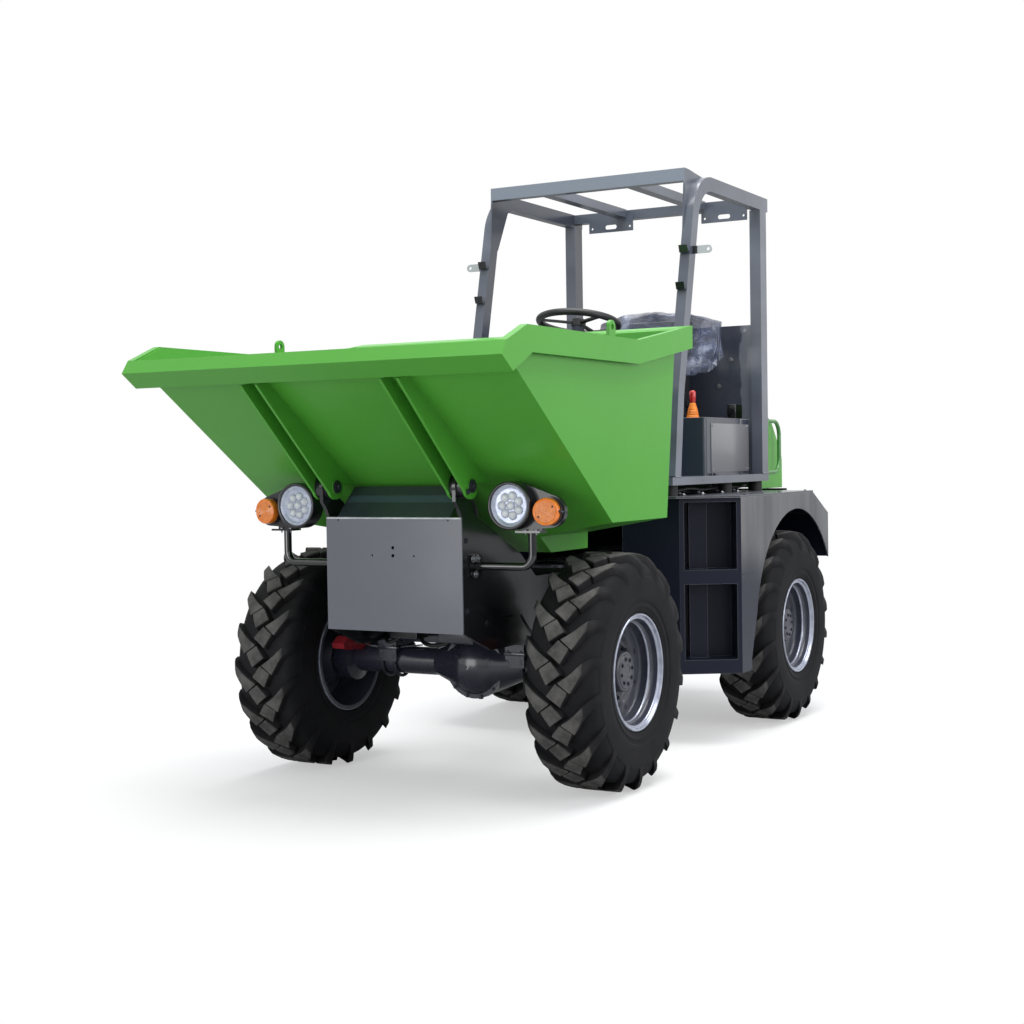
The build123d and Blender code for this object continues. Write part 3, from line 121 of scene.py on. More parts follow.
class Piece:
    """Mesh code for one piece: forms are added to it, then it rides on a body."""

    def __init__(self, name, *mats):
        self.name = name
        self.mats = mats
        self.bm = bmesh.new()

    def faces_from(self, rows, mat=0):
        """Closed rings of quads between rows of points; a row of one point is a tip."""
        grid = [[self.bm.verts.new(p) for p in row] for row in rows]
        for a, b in zip(grid, grid[1:]):
            count = max(len(a), len(b))
            for i in range(count):
                k = (i + 1) % count
                corners = (a[i % len(a)], a[k % len(a)], b[k % len(b)], b[i % len(b)])
                corners = tuple(dict.fromkeys(corners))
                if len(corners) > 2:
                    self.bm.faces.new(corners).material_index = mat

    def revolve(self, profile, m, n=48, mat=0):
        """A profile of (along Z, radius) turned about local Z."""
        rows = []
        for along, radius in profile:
            if radius < 1e-6:
                rows.append([m @ Vector((0, 0, along))])
            else:
                rows.append([m @ Vector((x, y, along)) for _, x, y in ring(n, radius)])
        self.faces_from(rows, mat)

    def prism(self, points, m, depth, mat=0, bevel=0.0, segments=2):
        """A flat outline in local XY, pushed along Z, its edges rounded."""
        bottom = [self.bm.verts.new(m @ Vector((x, y, 0))) for x, y in points]
        top = [self.bm.verts.new(m @ Vector((x, y, depth))) for x, y in points]
        made = [self.bm.faces.new(bottom[::-1]), self.bm.faces.new(top)]
        # The pads' cloth depends on the order of these faces
        walls = zip(bottom, bottom[1:] + bottom[:1], top[1:] + top[:1], top)
        made += [self.bm.faces.new(wall) for wall in walls]
        for f in made:
            f.material_index = mat
        if bevel:
            edges = list({e for f in made for e in f.edges})
            bmesh.ops.bevel(
                self.bm, geom=edges, offset=bevel, segments=segments, affect="EDGES",
                profile=0.5, clamp_overlap=True,
            )

    def box(self, low, high, mat=0, bevel=0.0, segments=2):
        low, high = Vector(low), Vector(high)
        points = [(low.x, low.y), (high.x, low.y), (high.x, high.y), (low.x, high.y)]
        self.prism(points, Matrix.Translation((0, 0, low.z)), high.z - low.z, mat, bevel, segments)

    def tube(self, points, radius, mat=0, n=12, smooth=4):
        """A tube along a smooth line through these points, with closed ends."""
        line = smooth_line(points, smooth)
        last = len(line) - 1
        rows = [[line[0]]]
        side = None
        for i, p in enumerate(line):
            along = (line[min(i + 1, last)] - line[max(i - 1, 0)]).normalized()
            if side is None:
                side = along.orthogonal().normalized()
            side = (side - along * side.dot(along)).normalized()
            up = along.cross(side)
            for share in (0.85, 1.0) if i in (0, last) else (1.0,):
                rows.append([p + side * x + up * y for _, x, y in ring(n, radius * share)])
        rows.append([line[-1]])
        self.faces_from(rows, mat)

    def bolt(self, place, normal, radius=0.009, mat=0, washer=True, height=None, turn=0.3):
        """A hexagon head with a chamfered top on its washer."""
        m = aim(place, normal, turn)
        rise = height or radius * 0.75
        start = 0.0
        if washer:
            start = radius * 0.22
            self.revolve([(0, radius * 1.65), (start, radius * 1.6), (start, 0)], m, 20, mat)
        head = ((start, radius), (start + rise * 0.8, radius), (start + rise, radius * 0.86), (start + rise, 0))
        self.revolve(head, m, 6, mat)

    def done(self, body, replaces=(), at=(0, 0, 0), sharp=35):
        """Turns the mesh into an object on its body, its edges sharp past this angle."""
        soften(self.bm, sharp)
        mesh = into_mesh(self.bm, self.name)
        for material in self.mats:
            mesh.materials.append(material.mat)
        return self.show(mesh, self.name, body, replaces, at)

    @staticmethod
    def show(mesh, name, body, replaces, at):
        o = placed(name, mesh)
        o.location = at
        bpy.context.view_layer.update()
        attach(o, body)
        if replaces:
            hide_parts(*replaces)
        return o


def smooth_line(points, steps):
    """Catmull-Rom line through the points."""
    pts = [Vector(p) for p in points]
    if steps < 2 or len(pts) < 3:
        return pts
    out = []
    for i in range(len(pts) - 1):
        p0 = pts[max(i - 1, 0)]
        p1, p2 = pts[i], pts[i + 1]
        p3 = pts[min(i + 2, len(pts) - 1)]
        for k in range(steps):
            t = k / steps
            out.append(0.5 * (
                2 * p1 + (p2 - p0) * t + (2 * p0 - 5 * p1 + 4 * p2 - p3) * t * t
                + (3 * p1 - p0 - 3 * p2 + p3) * t ** 3
            ))
    out.append(pts[-1])
    return out


def lerp_table(table, x):
    """Straight interpolation in a table of (x, value)."""
    for (x0, v0), (x1, v1) in zip(table, table[1:]):
        if x <= x1:
            t = max(0.0, (x - x0) / (x1 - x0))
            return v0 + (v1 - v0) * t
    return table[-1][1]


# ---- materials
def srgb(color):
    """Linear colour from the three numbers of a screen colour; a linear one passes."""
    if len(color) == 4:
        return color
    return tuple(c / 255 / 12.92 if c <= 10 else ((c / 255 + 0.055) / 1.055) ** 2.4 for c in color) + (1,)


def shade(color, k):
    return tuple(c * k for c in color[:3]) + (1,)


def add_node(nt, kind, **inputs):
    """A new node with these inputs set; an underscore stands for a space."""
    n = nt.nodes.new("ShaderNode" + kind)
    for name, value in inputs.items():
        n.inputs[name.replace("_", " ")].default_value = value
    return n


class Mat:
    """A node material with helpers for procedural colour and bump."""

    def __init__(self, name, color, rough=0.4, metal=0.0, coat=0.0, coat_rough=0.1, spec=0.5):
        self.mat = bpy.data.materials.new(name)
        self.mat.use_nodes = True
        self.nt = self.mat.node_tree
        self.bsdf = self.nt.nodes["Principled BSDF"]
        for socket, value in (
            ("Base Color", srgb(color)), ("Roughness", rough), ("Metallic", metal),
            ("Coat Weight", coat), ("Coat Roughness", coat_rough), ("Specular IOR Level", spec),
        ):
            self.set(socket, value)
        self.coords = None
        self.normal = None

    def set(self, socket, value):
        self.bsdf.inputs[socket].default_value = value

    def node(self, kind, **inputs):
        return add_node(self.nt, kind, **inputs)

    def link(self, a, b):
        self.nt.links.new(a, b)

    def feed(self, socket, value):
        if hasattr(value, "links"):
            self.link(value, socket)
        else:
            socket.default_value = value

    def object_coords(self):
        if self.coords is None:
            self.coords = self.node("TexCoord").outputs["Object"]
        return self.coords

    def noise(self, scale, detail=3.0, rough=0.5, stretch=None):
        n = self.node("TexNoise", Scale=scale, Detail=detail, Roughness=rough)
        source = self.object_coords()
        if stretch:
            m = self.node("Mapping", Scale=stretch)
            self.link(source, m.inputs["Vector"])
            source = m.outputs["Vector"]
        self.link(source, n.inputs["Vector"])
        return n.outputs["Fac"]

    def ramp(self, value, stops):
        r = self.node("ValToRGB")
        elements = r.color_ramp.elements
        while len(elements) < len(stops):
            elements.new(0.5)
        for element, (place, color) in zip(elements, stops):
            element.position = place
            element.color = srgb(color)
        self.link(value, r.inputs["Fac"])
        return r.outputs["Color"]

    def step(self, value, low, high, a=0.0, b=1.0):
        """Smooth step of a value between two limits."""
        r = self.node("MapRange", From_Min=low, From_Max=high, To_Min=a, To_Max=b)
        r.interpolation_type = "SMOOTHSTEP"
        self.feed(r.inputs["Value"], value)
        return r.outputs["Result"]

    def mix(self, factor, a, b):
        m = self.node("Mix")
        m.data_type = "RGBA"
        for socket, value in ((m.inputs["Factor"], factor), (m.inputs[6], a), (m.inputs[7], b)):
            self.feed(socket, srgb(value) if isinstance(value, tuple) else value)
        return m.outputs[2]

    def math(self, operation, a, b=0.0):
        m = self.node("Math")
        m.operation = operation
        self.feed(m.inputs[0], a)
        self.feed(m.inputs[1], b)
        return m.outputs[0]

    def times(self, a, b):
        return self.math("MULTIPLY", a, b)

    def axis_of(self, vector, axis):
        s = self.node("SeparateXYZ")
        self.link(vector, s.inputs[0])
        return s.outputs[axis]

    def part(self, axis):
        """One of the object coordinates."""
        return self.axis_of(self.object_coords(), axis)

    def apart(self, axis):
        """The distance from the middle plane across an axis."""
        return self.math("ABSOLUTE", self.part(axis))

    def up(self):
        """How far a face looks up."""
        return self.axis_of(self.node("NewGeometry").outputs["Normal"], "Z")

    def facing(self, axis):
        """How far a face looks along one of the object's own axes."""
        return self.axis_of(self.node("TexCoord").outputs["Normal"], axis)

    def tone(self):
        """The colour that feeds the base."""
        return self.bsdf.inputs["Base Color"].links[0].from_socket

    def edges(self, width=0.004):
        """One where an edge is near, for worn paint and a painted highlight on edges."""
        bevel = self.node("Bevel", Radius=width)
        bevel.samples = 4
        dot = self.node("VectorMath")
        dot.operation = "DOT_PRODUCT"
        self.link(bevel.outputs[0], dot.inputs[0])
        self.link(self.node("NewGeometry").outputs["Normal"], dot.inputs[1])
        return self.step(dot.outputs["Value"], 0.97, 0.9)

    def base(self, color):
        self.link(color, self.bsdf.inputs["Base Color"])

    def roughness(self, value):
        self.link(value, self.bsdf.inputs["Roughness"])

    def bump(self, height, strength=0.2, distance=0.002):
        b = self.node("Bump", Strength=strength, Distance=distance)
        self.link(height, b.inputs["Height"])
        if self.normal is not None:
            self.link(self.normal, b.inputs["Normal"])
        self.normal = b.outputs["Normal"]
        self.link(self.normal, self.bsdf.inputs["Normal"])


def paint(name, color, rough=0.3, coat=0.4, dust=0.06, dust_color=(0.35, 0.34, 0.31, 1), peel=0.04,
          edge_wear_and_highlight=0.0):
    """Sprayed paint: slight colour drift, a film of dust, orange peel, and edges lightened partly as wear and
    partly as a painted highlight.
    """
    color = srgb(color)
    m = Mat(name, color, rough=rough, coat=coat, coat_rough=0.12)
    tone = m.ramp(m.noise(1.3, 4), [(0.3, shade(color, 0.96)), (0.7, shade(color, 1.04))])
    film = m.times(m.noise(9.0, 6, 0.65), dust)
    tone = m.mix(film, tone, dust_color)
    # Lighter edges: partly wear, partly a painted highlight
    if edge_wear_and_highlight:
        tone = m.mix(m.times(m.edges(), edge_wear_and_highlight), tone, (0.5, 0.52, 0.56, 1))
    m.base(tone)
    m.roughness(m.math("ADD", m.times(m.noise(14.0, 4), 0.12), rough - 0.06))
    m.bump(m.noise(160.0, 2), strength=peel, distance=0.001)
    return m


def speckled(name, dark, light, scale, rough=0.4, metal=0.0, coat=0.0, bump=0.0):
    """Two tones in fine noise, with the same noise as bump."""
    m = Mat(name, dark, rough=rough, metal=metal, coat=coat)
    grain = m.noise(scale, 4)
    m.base(m.ramp(grain, [(0.3, dark), (0.75, light)]))
    if bump:
        m.bump(grain, bump, 0.001)
    return m


def rops_painted_light(m):
    """Painted shade: darker on inner faces and undersides; painted highlight: lighter on the front of the header.
    """
    bands = m.ramp(m.noise(1.7, 3, 0.5, stretch=(1, 1, 1.6)), [
        (0.3, (66, 72, 85)), (0.5, (80, 86, 98)), (0.7, (97, 103, 117)),
    ])
    # Painted shade on the inner faces
    inner_painted_shade = m.times(m.facing("Y"), m.part("Y"))
    bands = m.mix(m.step(inner_painted_shade, -0.15, -0.42), bands, (46, 51, 63))
    # Painted highlight, a reflection on the front face of the header
    ahead = m.times(m.step(m.facing("X"), 0.5, 0.9), m.step(m.part("Z"), 2.66, 2.7))
    ahead = m.times(ahead, m.step(m.part("X"), -0.7, -0.6))
    bands = m.mix(ahead, bands, (122, 130, 145))
    # Painted shade on the undersides
    m.base(m.mix(m.step(m.up(), -0.3, -0.9, 0, 0.6), bands, (34, 38, 50)))


def caliper_look(m):
    """Red brake calipers on the front axle, by place."""
    gate = m.times(m.step(m.part("X"), 0.857, 0.859), m.step(m.part("Z"), 0.5275, 0.5295))
    across = m.apart("Y")
    wide = m.times(m.step(across, 0.4685, 0.4695), m.step(across, 0.5315, 0.5305))
    m.base(m.mix(m.times(gate, wide), m.tone(), (150, 40, 50)))


def tyre_look(m):
    """Black rubber, dusty where the lugs wear and a little below them."""
    squares = [m.times(m.part(axis), m.part(axis)) for axis in "XZ"]
    radius = m.math("SQRT", m.math("ADD", *squares))
    worn = m.step(radius, 0.4785, 0.4855)
    near = m.step(radius, 0.43, 0.48, 0.0, 0.14)
    film = m.times(m.step(m.noise(14, 5, 0.65), 0.25, 0.8, 0.35, 1.0), m.math("ADD", worn, near))
    tone = m.ramp(m.noise(7, 5), [(0.3, (15, 16, 18)), (0.75, (27, 27, 31))])
    m.base(m.mix(m.times(film, 0.85), tone, (106, 104, 102)))
    m.bump(m.noise(120, 4, 0.6), 0.18, 0.002)


def rear_panel_look(m):
    """Lighter towards both ends, with a wavy border."""
    wavy = m.math("ADD", m.apart("Y"), m.times(m.noise(7, 4), 0.09))
    m.base(m.mix(m.step(wavy, 0.492, 0.5), m.tone(), (98, 104, 114)))


def cabinet_look(m):
    """Grey streaks on the outer faces, darker towards their foot."""
    outer_face = m.step(m.apart("Y"), 0.8485, 0.8495)
    bands = m.ramp(m.noise(3.2, 3, 0.5, stretch=(1.6, 1, 0.12)), [
        (0.36, (72, 73, 79)), (0.5, (101, 101, 104)), (0.66, (116, 116, 118)),
    ])
    height = m.math("ADD", m.part("Z"), m.times(m.noise(2.2, 3), 0.3))
    bands = m.mix(m.step(height, 1.12, 0.85), bands, (46, 49, 61))
    m.base(m.mix(outer_face, m.tone(), bands))


green = paint("skip_green_paint", (76, 156, 50), rough=0.38, coat=0.1, dust=0.01)
green.set("Specular IOR Level", 0.32)
green_dark = paint("handle_green_paint", (64, 128, 60), rough=0.35, coat=0.3)
steel_blue = paint("chassis_blue_grey_paint", (28, 32, 46), rough=0.38, coat=0.15, dust=0.05, edge_wear_and_highlight=0.25)
black_paint = paint("frame_black_paint", (19, 22, 26), rough=0.22, coat=0.5, dust=0.02, edge_wear_and_highlight=0.1)
tube_black = paint("lamp_arm_black_paint", (14, 15, 18), rough=0.12, coat=1.0, dust=0.0, peel=0.01)
nose_grey = paint("nose_grey_paint", (93, 96, 107), rough=0.36, coat=0.25, dust=0.05)
# Darker tone for the nose's sloping panel: painted shade of the skip above it
nose_shade_tone = paint("nose_dark_paint", (40, 50, 57), rough=0.36, coat=0.25, dust=0.05)
rops_grey = paint("rops_grey_paint", (82, 88, 100), rough=0.3, coat=0.35, dust=0.02, edge_wear_and_highlight=0.35)
rops_painted_light(rops_grey)
axle_paint = paint("axle_blue_black_paint", (36, 38, 53), rough=0.26, coat=0.5, dust=0.04)
console_paint = paint("console_blue_paint", (34, 44, 59), rough=0.3, coat=0.3)
side_grey = paint("side_panel_grey_paint", (120, 120, 124), rough=0.34, coat=0.25, dust=0.04)
red_paint = paint("brake_red_paint", (150, 38, 48), rough=0.4, coat=0.2, dust=0.12)

rubber_black = speckled("rubber_black", (20, 20, 22), (36, 36, 38), 60, rough=0.65, bump=0.15)
plastic_black = speckled(
    "gloss_black_plastic", (13, 14, 16), (24, 25, 28), 70, rough=0.24, coat=0.3, bump=0.03)
cable_black = speckled("hose_black_rubber", (15, 16, 18), (27, 28, 31), 90, rough=0.42, bump=0.1)
bolt_steel = speckled("zinc_bolt_steel", (104, 108, 114), (168, 171, 176), 120, rough=0.32, metal=0.85)
dark_steel = speckled("blued_bolt_steel", (36, 38, 46), (66, 69, 80), 120, rough=0.35, metal=0.5)
chrome = Mat("rod_chrome", (205, 207, 210), rough=0.12, metal=1.0)
drawn = chrome.times(chrome.noise(60, 3, stretch=(1, 12, 12)), 0.12)
chrome.roughness(chrome.math("ADD", drawn, 0.06))


def dress(material, *names):
    """Gives solids that stay in view their material."""
    for name in names:
        NODES[name].data.materials.clear()
        NODES[name].data.materials.append(material.mat)


dress(green, "skip_tub", "skip_rim", "skip_ribs", "lifting_eyes", "bonnet")
dress(green_dark, "bonnet_handles")
dress(black_paint, "front_frame", "tip_barrel", "steer_barrel")
dress(tube_black, "lamp_arms")
dress(nose_grey, "nose_cover")
dress(steel_blue, "rear_frame", "rear_bumper")
dress(rops_grey, "cab_base", "rops_front_posts", "rops_rear_posts", "rops_cross_members")
dress(axle_paint, "front_axle", "rear_axle", "engine_block")
dress(console_paint, "seat_box")
dress(rubber_black, "cab_mounts")
dress(chrome, "tip_rod", "steer_rod")


# ---- tyres
TYRE_R = 0.4875
LUGS = 18
LUG_TURN = radians(-12.4677)  # the source's turn, so the lugs lie on the solid's
SIDE_PROFILE = [  # distance from the middle plane, radius
    (0.0, 0.4535), (0.05, 0.4535), (0.09, 0.4533), (0.112, 0.4515), (0.124, 0.4465), (0.134, 0.4385),
    (0.143, 0.427), (0.1492, 0.4142), (0.1522, 0.4045), (0.1548, 0.392), (0.1555, 0.3895), (0.1568, 0.3885),
    (0.1575, 0.386), (0.158, 0.366), (0.1582, 0.345), (0.158, 0.326), (0.1572, 0.31), (0.1556, 0.2955),
    (0.155, 0.2935), (0.1532, 0.2925), (0.1524, 0.29), (0.1512, 0.2765), (0.1518, 0.2745), (0.1528, 0.2725),
    (0.1526, 0.2695), (0.151, 0.2665), (0.148, 0.26), (0.1455, 0.253), (0.1438, 0.2462), (0.141, 0.2445),
    (0.1385, 0.242), (0.1385, 0.231),
]
LUG_TOP = [
    (0.0, 0.4868), (0.1, 0.4865), (0.118, 0.4838), (0.13, 0.475), (0.142, 0.4595), (0.15, 0.446), (0.1578, 0.425),
]


def tyre_place(s, y, r):
    """A tread point: run along the tread, sideways, radius."""
    a = s / TYRE_R
    return Vector((r * sin(a), y, r * cos(a)))


def lug_form(bm, rows):
    """A lug from rows of (rear edge, front edge) plan points, with drafted flanks."""
    grid = []
    for index, ((s0, y0), (s1, y1)) in enumerate(rows):
        drop = 0.009
        end = 0.007 if index == 0 else (-0.006 if index == len(rows) - 1 else 0.0)
        line = []
        for s, y, push, level in (
            (s0, y0, -drop, 0), (s0, y0, 0, 1), ((s0 * 2 + s1) / 3, (y0 * 2 + y1) / 3, 0, 1),
            ((s0 + s1 * 2) / 3, (y0 + y1 * 2) / 3, 0, 1), (s1, y1, 0, 1), (s1, y1, drop, 0),
        ):
            if level:
                r = lerp_table(LUG_TOP, abs(y))
                line.append(tyre_place(s, y, r))
            else:
                reach = y - end
                r = min(lerp_table(SIDE_PROFILE[:14], min(abs(reach), 0.1575)), 0.4535) - 0.006
                line.append(tyre_place(s + push, min(reach, 0.1578), r))
        grid.append([bm.verts.new(p) for p in line])
    faces = [
        bm.faces.new((a[i], a[i + 1], b[i + 1], b[i])) for a, b in zip(grid, grid[1:]) for i in range(5)
    ]
    faces += [bm.faces.new(grid[0]), bm.faces.new(grid[-1][::-1])]
    bmesh.ops.recalc_face_normals(bm, faces=faces)
    edges = {e for f in faces for e in f.edges}
    sharp = [e for e in edges if len(e.link_faces) == 2 and e.calc_face_angle(0) > radians(33)]
    bmesh.ops.bevel(bm, geom=sharp, offset=0.0035, segments=2, affect="EDGES", clamp_overlap=True)


def tyre_mesh():
    """The carcass with two rows of lugs, shared by the four wheels."""
    lug = bmesh.new()
    # Inner block, then the bar that curves over the shoulder
    lug_form(lug, [
        ((0.062, -0.028), (0.0645, -0.0285)),
        ((0.038, -0.008), (0.0855, 0.002)),
        ((0.014, 0.0125), (0.1055, 0.0285)),
        ((0.029, 0.035), (0.077, 0.0435)),
        ((0.0455, 0.059), (0.0495, 0.059)),
    ])
    lug_form(lug, [
        ((0.01, 0.0215), (0.013, 0.024)),
        ((-0.004, 0.044), (0.03, 0.047)),
        ((-0.018, 0.064), (0.048, 0.0725)),
        ((-0.033, 0.083), (0.024, 0.089)),
        ((-0.05, 0.101), (-0.002, 0.105)),
        ((-0.068, 0.119), (-0.026, 0.121)),
        ((-0.084, 0.1355), (-0.045, 0.1365)),
        ((-0.096, 0.149), (-0.061, 0.149)),
        ((-0.102, 0.1572), (-0.071, 0.1572)),
    ])
    bm = bmesh.new()
    n = 160
    outline = [(-y, r) for y, r in reversed(SIDE_PROFILE)] + SIDE_PROFILE[1:]
    outline += [(0.05, 0.2305), (-0.05, 0.2305)]
    rows = [[bm.verts.new((across, y, up)) for _, up, across in ring(n, r)] for y, r in outline]
    for a, b in zip(rows, rows[1:] + rows[:1]):
        for i in range(n):
            k = (i + 1) % n
            bm.faces.new((a[i], a[k], b[k], b[i]))
    source = into_mesh(lug, "lug")
    for side in SIDES:
        for k in range(LUGS):
            turn = LUG_TURN + 2 * pi * (k + (0.5 if side < 0 else 0)) / LUGS
            m = Matrix.Rotation(turn, 4, "Y") @ Matrix.Diagonal((1, side, 1, 1))
            before = len(bm.verts)
            bm.from_mesh(source)
            bm.verts.ensure_lookup_table()
            bmesh.ops.transform(bm, matrix=m, verts=bm.verts[before:])
    soften(bm, 50)
    return into_mesh(bm, "tyre_detail")


rubber = Mat("tyre_rubber", (27, 28, 31), rough=0.7, spec=0.15)
tyre_look(rubber)
tyre = tyre_mesh()
tyre.materials.append(rubber.mat)

# ---- rims
rim_silver = speckled(
    "rim_silver_paint", (150, 155, 172), (182, 187, 202), 30, rough=0.28, metal=0.55, coat=0.2)
rim_dark = paint("rim_blue_grey_paint", (46, 50, 68), rough=0.3, coat=0.3, dust=0.12)
rim_disc = paint(
    "rim_disc_paint", (36, 39, 53), rough=0.36, coat=0.2, dust=0.3, dust_color=(0.2, 0.2, 0.22, 1))


def rim_piece(name, side):
    """One steel wheel: outer side at +Y for the left wheels."""
    p = Piece(name, rim_silver, rim_dark, rim_disc, dark_steel)
    m = Matrix.Rotation(-side * pi / 2, 4, "X")

    def on_disc(a, radius, out):
        return m @ Vector((radius * cos(a), radius * sin(a), out))

    outer = [
        (-0.1465, 0.236), (-0.146, 0.2385), (-0.143, 0.24), (-0.138, 0.2398), (-0.1345, 0.237), (-0.133, 0.232),
        (-0.129, 0.2295), (-0.12, 0.229), (0.12, 0.229), (0.129, 0.2295), (0.133, 0.232), (0.1345, 0.237),
        (0.138, 0.2398), (0.143, 0.24), (0.1465, 0.2375), (0.147, 0.234), (0.1455, 0.231), (0.142, 0.2292),
        (0.1375, 0.2285), (0.1345, 0.2268), (0.1335, 0.2235), (0.1345, 0.2205), (0.1335, 0.2182), (0.13, 0.2165),
    ]
    p.revolve(outer, m, 96, 0)
    p.revolve([(0.13, 0.2165), (0.115, 0.215), (0.106, 0.2138), (0.101, 0.2095), (0.098, 0.2045)], m, 96, 1)
    p.revolve([(0.098, 0.2045), (0.0945, 0.2015), (0.0915, 0.2008), (0.089, 0.2025)], m, 96, 0)
    p.revolve([(0.089, 0.2025), (0.07, 0.2035), (0.058, 0.2025), (0.0525, 0.198), (0.0515, 0.192)], m, 96, 1)
    p.revolve([
        (0.0515, 0.192), (0.0515, 0.158), (0.0505, 0.152), (0.046, 0.1475), (0.034, 0.141), (0.0295, 0.1365),
        (0.0283, 0.131), (0.0283, 0.094), (0.031, 0.0885), (0.039, 0.0855), (0.079, 0.0835), (0.0835, 0.0815),
        (0.086, 0.078), (0.0865, 0.0715), (0.0895, 0.0695), (0.0905, 0.066), (0.0905, 0.03), (0.0885, 0.0275),
        (0.0885, 0.0),
    ], m, 72, 2)
    p.revolve([
        (-0.1465, 0.236), (-0.1465, 0.2195), (-0.13, 0.2175), (0.03, 0.2165), (0.036, 0.214), (0.04, 0.16),
        (0.016, 0.14), (-0.098, 0.0855), (-0.0975, 0.0),
    ], m, 72, 1)
    # Wheel nuts, with the disc's holes and the hub's bolts between them
    along = m @ Vector(UP)
    for a, _, _ in ring(8):
        place = on_disc(a, 0.11, 0.0283)
        local = aim(place, along)
        p.revolve([(0, 0.0205), (0.003, 0.0195), (0.004, 0.0155)], local, 20, 3)
        p.bolt(place + along * 0.003, along, 0.0125, 3, washer=False, height=0.015, turn=a)
        p.revolve([(0.018, 0.0075), (0.026, 0.0075), (0.0285, 0.0055), (0.0285, 0)], local, 12, 3)
        hole = aim(on_disc(a + pi / 8, 0.17, 0.0517), along)
        p.revolve([(0, 0.0105), (0.0012, 0.01), (0.0004, 0.008), (0.0004, 0)], hole, 16, 3)
        p.bolt(on_disc(a + 0.2, 0.052, 0.0905), along, 0.006, 3, height=0.005)
    valve = m @ Vector((0.206, 0.03, 0.075))
    p.tube([m @ Vector((0.209, 0.03, 0.06)), valve, m @ Vector((0.199, 0.03, 0.105))], 0.0042, 3, 10)
    return p


for side, half in ((1, "left"), (-1, "right")):
    for end, wheel_x in (("front", FX), ("rear", RX)):
        where = (wheel_x, side * WHEEL_Y, WZ)
        wheel = f"wheel_{end}_{half}"
        Piece.show(tyre, f"tyre_tread_{end}_{half}", wheel, (f"tyre_{end}_{half}",), where)
        rim = rim_piece(f"rim_disc_{end}_{half}", side)
        rim.done(wheel, (f"rim_{end}_{half}",), where)


# ---- lamps
lens_glass = Mat("lamp_clear_glass", (226, 232, 240), rough=0.05, coat=1.0)
lens_glass.set("Alpha", 0.2)
lens_glass.roughness(lens_glass.step(lens_glass.noise(40, 2), 0.3, 0.8, 0.03, 0.1))
reflector = speckled("lamp_reflector", (168, 176, 204), (214, 220, 236), 60, rough=0.22, metal=0.45)
led_white = speckled("lamp_led_lens", (206, 210, 214), (240, 242, 244), 90, rough=0.2, coat=0.8)
housing_black = speckled(
    "lamp_housing_black", (18, 19, 22), (34, 35, 42), 50, rough=0.3, coat=0.3, bump=0.05)
orange = speckled("indicator_orange_lens", (240, 116, 22), (255, 152, 48), 45, rough=0.2, coat=0.7)
orange_deep = speckled(
    "indicator_deep_orange", (222, 116, 26), (246, 146, 50), 70, rough=0.25, coat=0.7, bump=0.1)
dress(housing_black, "lamp_housings")

lamps = Piece("headlamp_details", housing_black, reflector, led_white, lens_glass, bolt_steel)
for side in SIDES:
    face = aim((1.336, side * 0.514, 1.178), (1, 0, 0))
    lamps.revolve([
        (-0.004, 0.0955), (0.002, 0.0958), (0.0065, 0.0945), (0.009, 0.0915), (0.0095, 0.0875), (0.008, 0.084),
        (0.0045, 0.0828), (-0.01, 0.0822), (-0.0135, 0.08),
    ], face, 64, 0)
    lamps.revolve(
        [(-0.002, 0.0825), (-0.0035, 0.0785), (-0.0085, 0.0715), (-0.0115, 0.068), (-0.0135, 0)], face, 64, 1)
    lamps.revolve([
        (0.0035, 0.083), (0.0052, 0.0795), (0.0075, 0.06), (0.0088, 0.035), (0.0093, 0.012), (0.0093, 0),
    ], face, 64, 3)
    spots = [(0.0, 0.0)] + [(u, v) for _, u, v in ring(7, 0.0395, pi / 7)]
    for u, v in spots:
        cup = face @ Matrix.Translation((u, v, -0.0135))
        lamps.revolve(
            [(0.0, 0.0185), (0.004, 0.0186), (0.0055, 0.0172), (0.0035, 0.0158), (0.002, 0.0152)], cup, 24, 1)
        lamps.revolve(
            [(0.001, 0.0155), (0.007, 0.0148), (0.0115, 0.0118), (0.0145, 0.0065), (0.0153, 0)], cup, 24, 2)
    for y in (0.568, 0.616):
        under = (1.305, side * y, 1.084)
        lamps.bolt(under, DOWN, 0.0068, 4, height=0.008)
        lamps.revolve([(0, 0.0035), (0.02, 0.0035), (0.0215, 0.0025), (0.0215, 0)], aim(under, DOWN), 12, 4)
lamps.done("front_body", ("headlamp_lenses",))

flashers = Piece("indicator_details", orange, orange_deep, dark_steel)
for side in SIDES:
    face = aim((1.336, side * 0.675, 1.155), (1, 0.12 * side, 0))
    flashers.revolve([
        (-0.022, 0.0538), (-0.004, 0.0542), (0.004, 0.0538), (0.0078, 0.0518), (0.009, 0.0492), (0.0083, 0.0468),
        (0.0062, 0.0452), (0.0055, 0.0435),
    ], face, 56, 0)
    rows = [(0.0055, 0.0435)]
    for i in range(7):
        r = 0.041 - i * 0.0062
        rows += [(0.0058, r), (0.0068, r - 0.0016), (0.0068, r - 0.0032), (0.0058, r - 0.0048)]
    rows.append((0.0058, 0))
    flashers.revolve([row for row in rows if row[1] >= 0], face, 48, 1)
    for _, u, v in ring(2, 0.0355, 0.6):
        screw = face @ Matrix.Translation((u, v, 0.006))
        flashers.revolve([(0, 0.0042), (0.0022, 0.004), (0.003, 0.0025), (0.003, 0)], screw, 12, 2)
    lead = ((side * 0.048, 0.004, 0), (side * 0.06, 0.0, -0.003), (side * 0.066, 0, -0.02))
    flashers.tube([face @ Vector(p) for p in lead], 0.005, 2, 8)
flashers.done("front_body", ("indicator_lenses",))

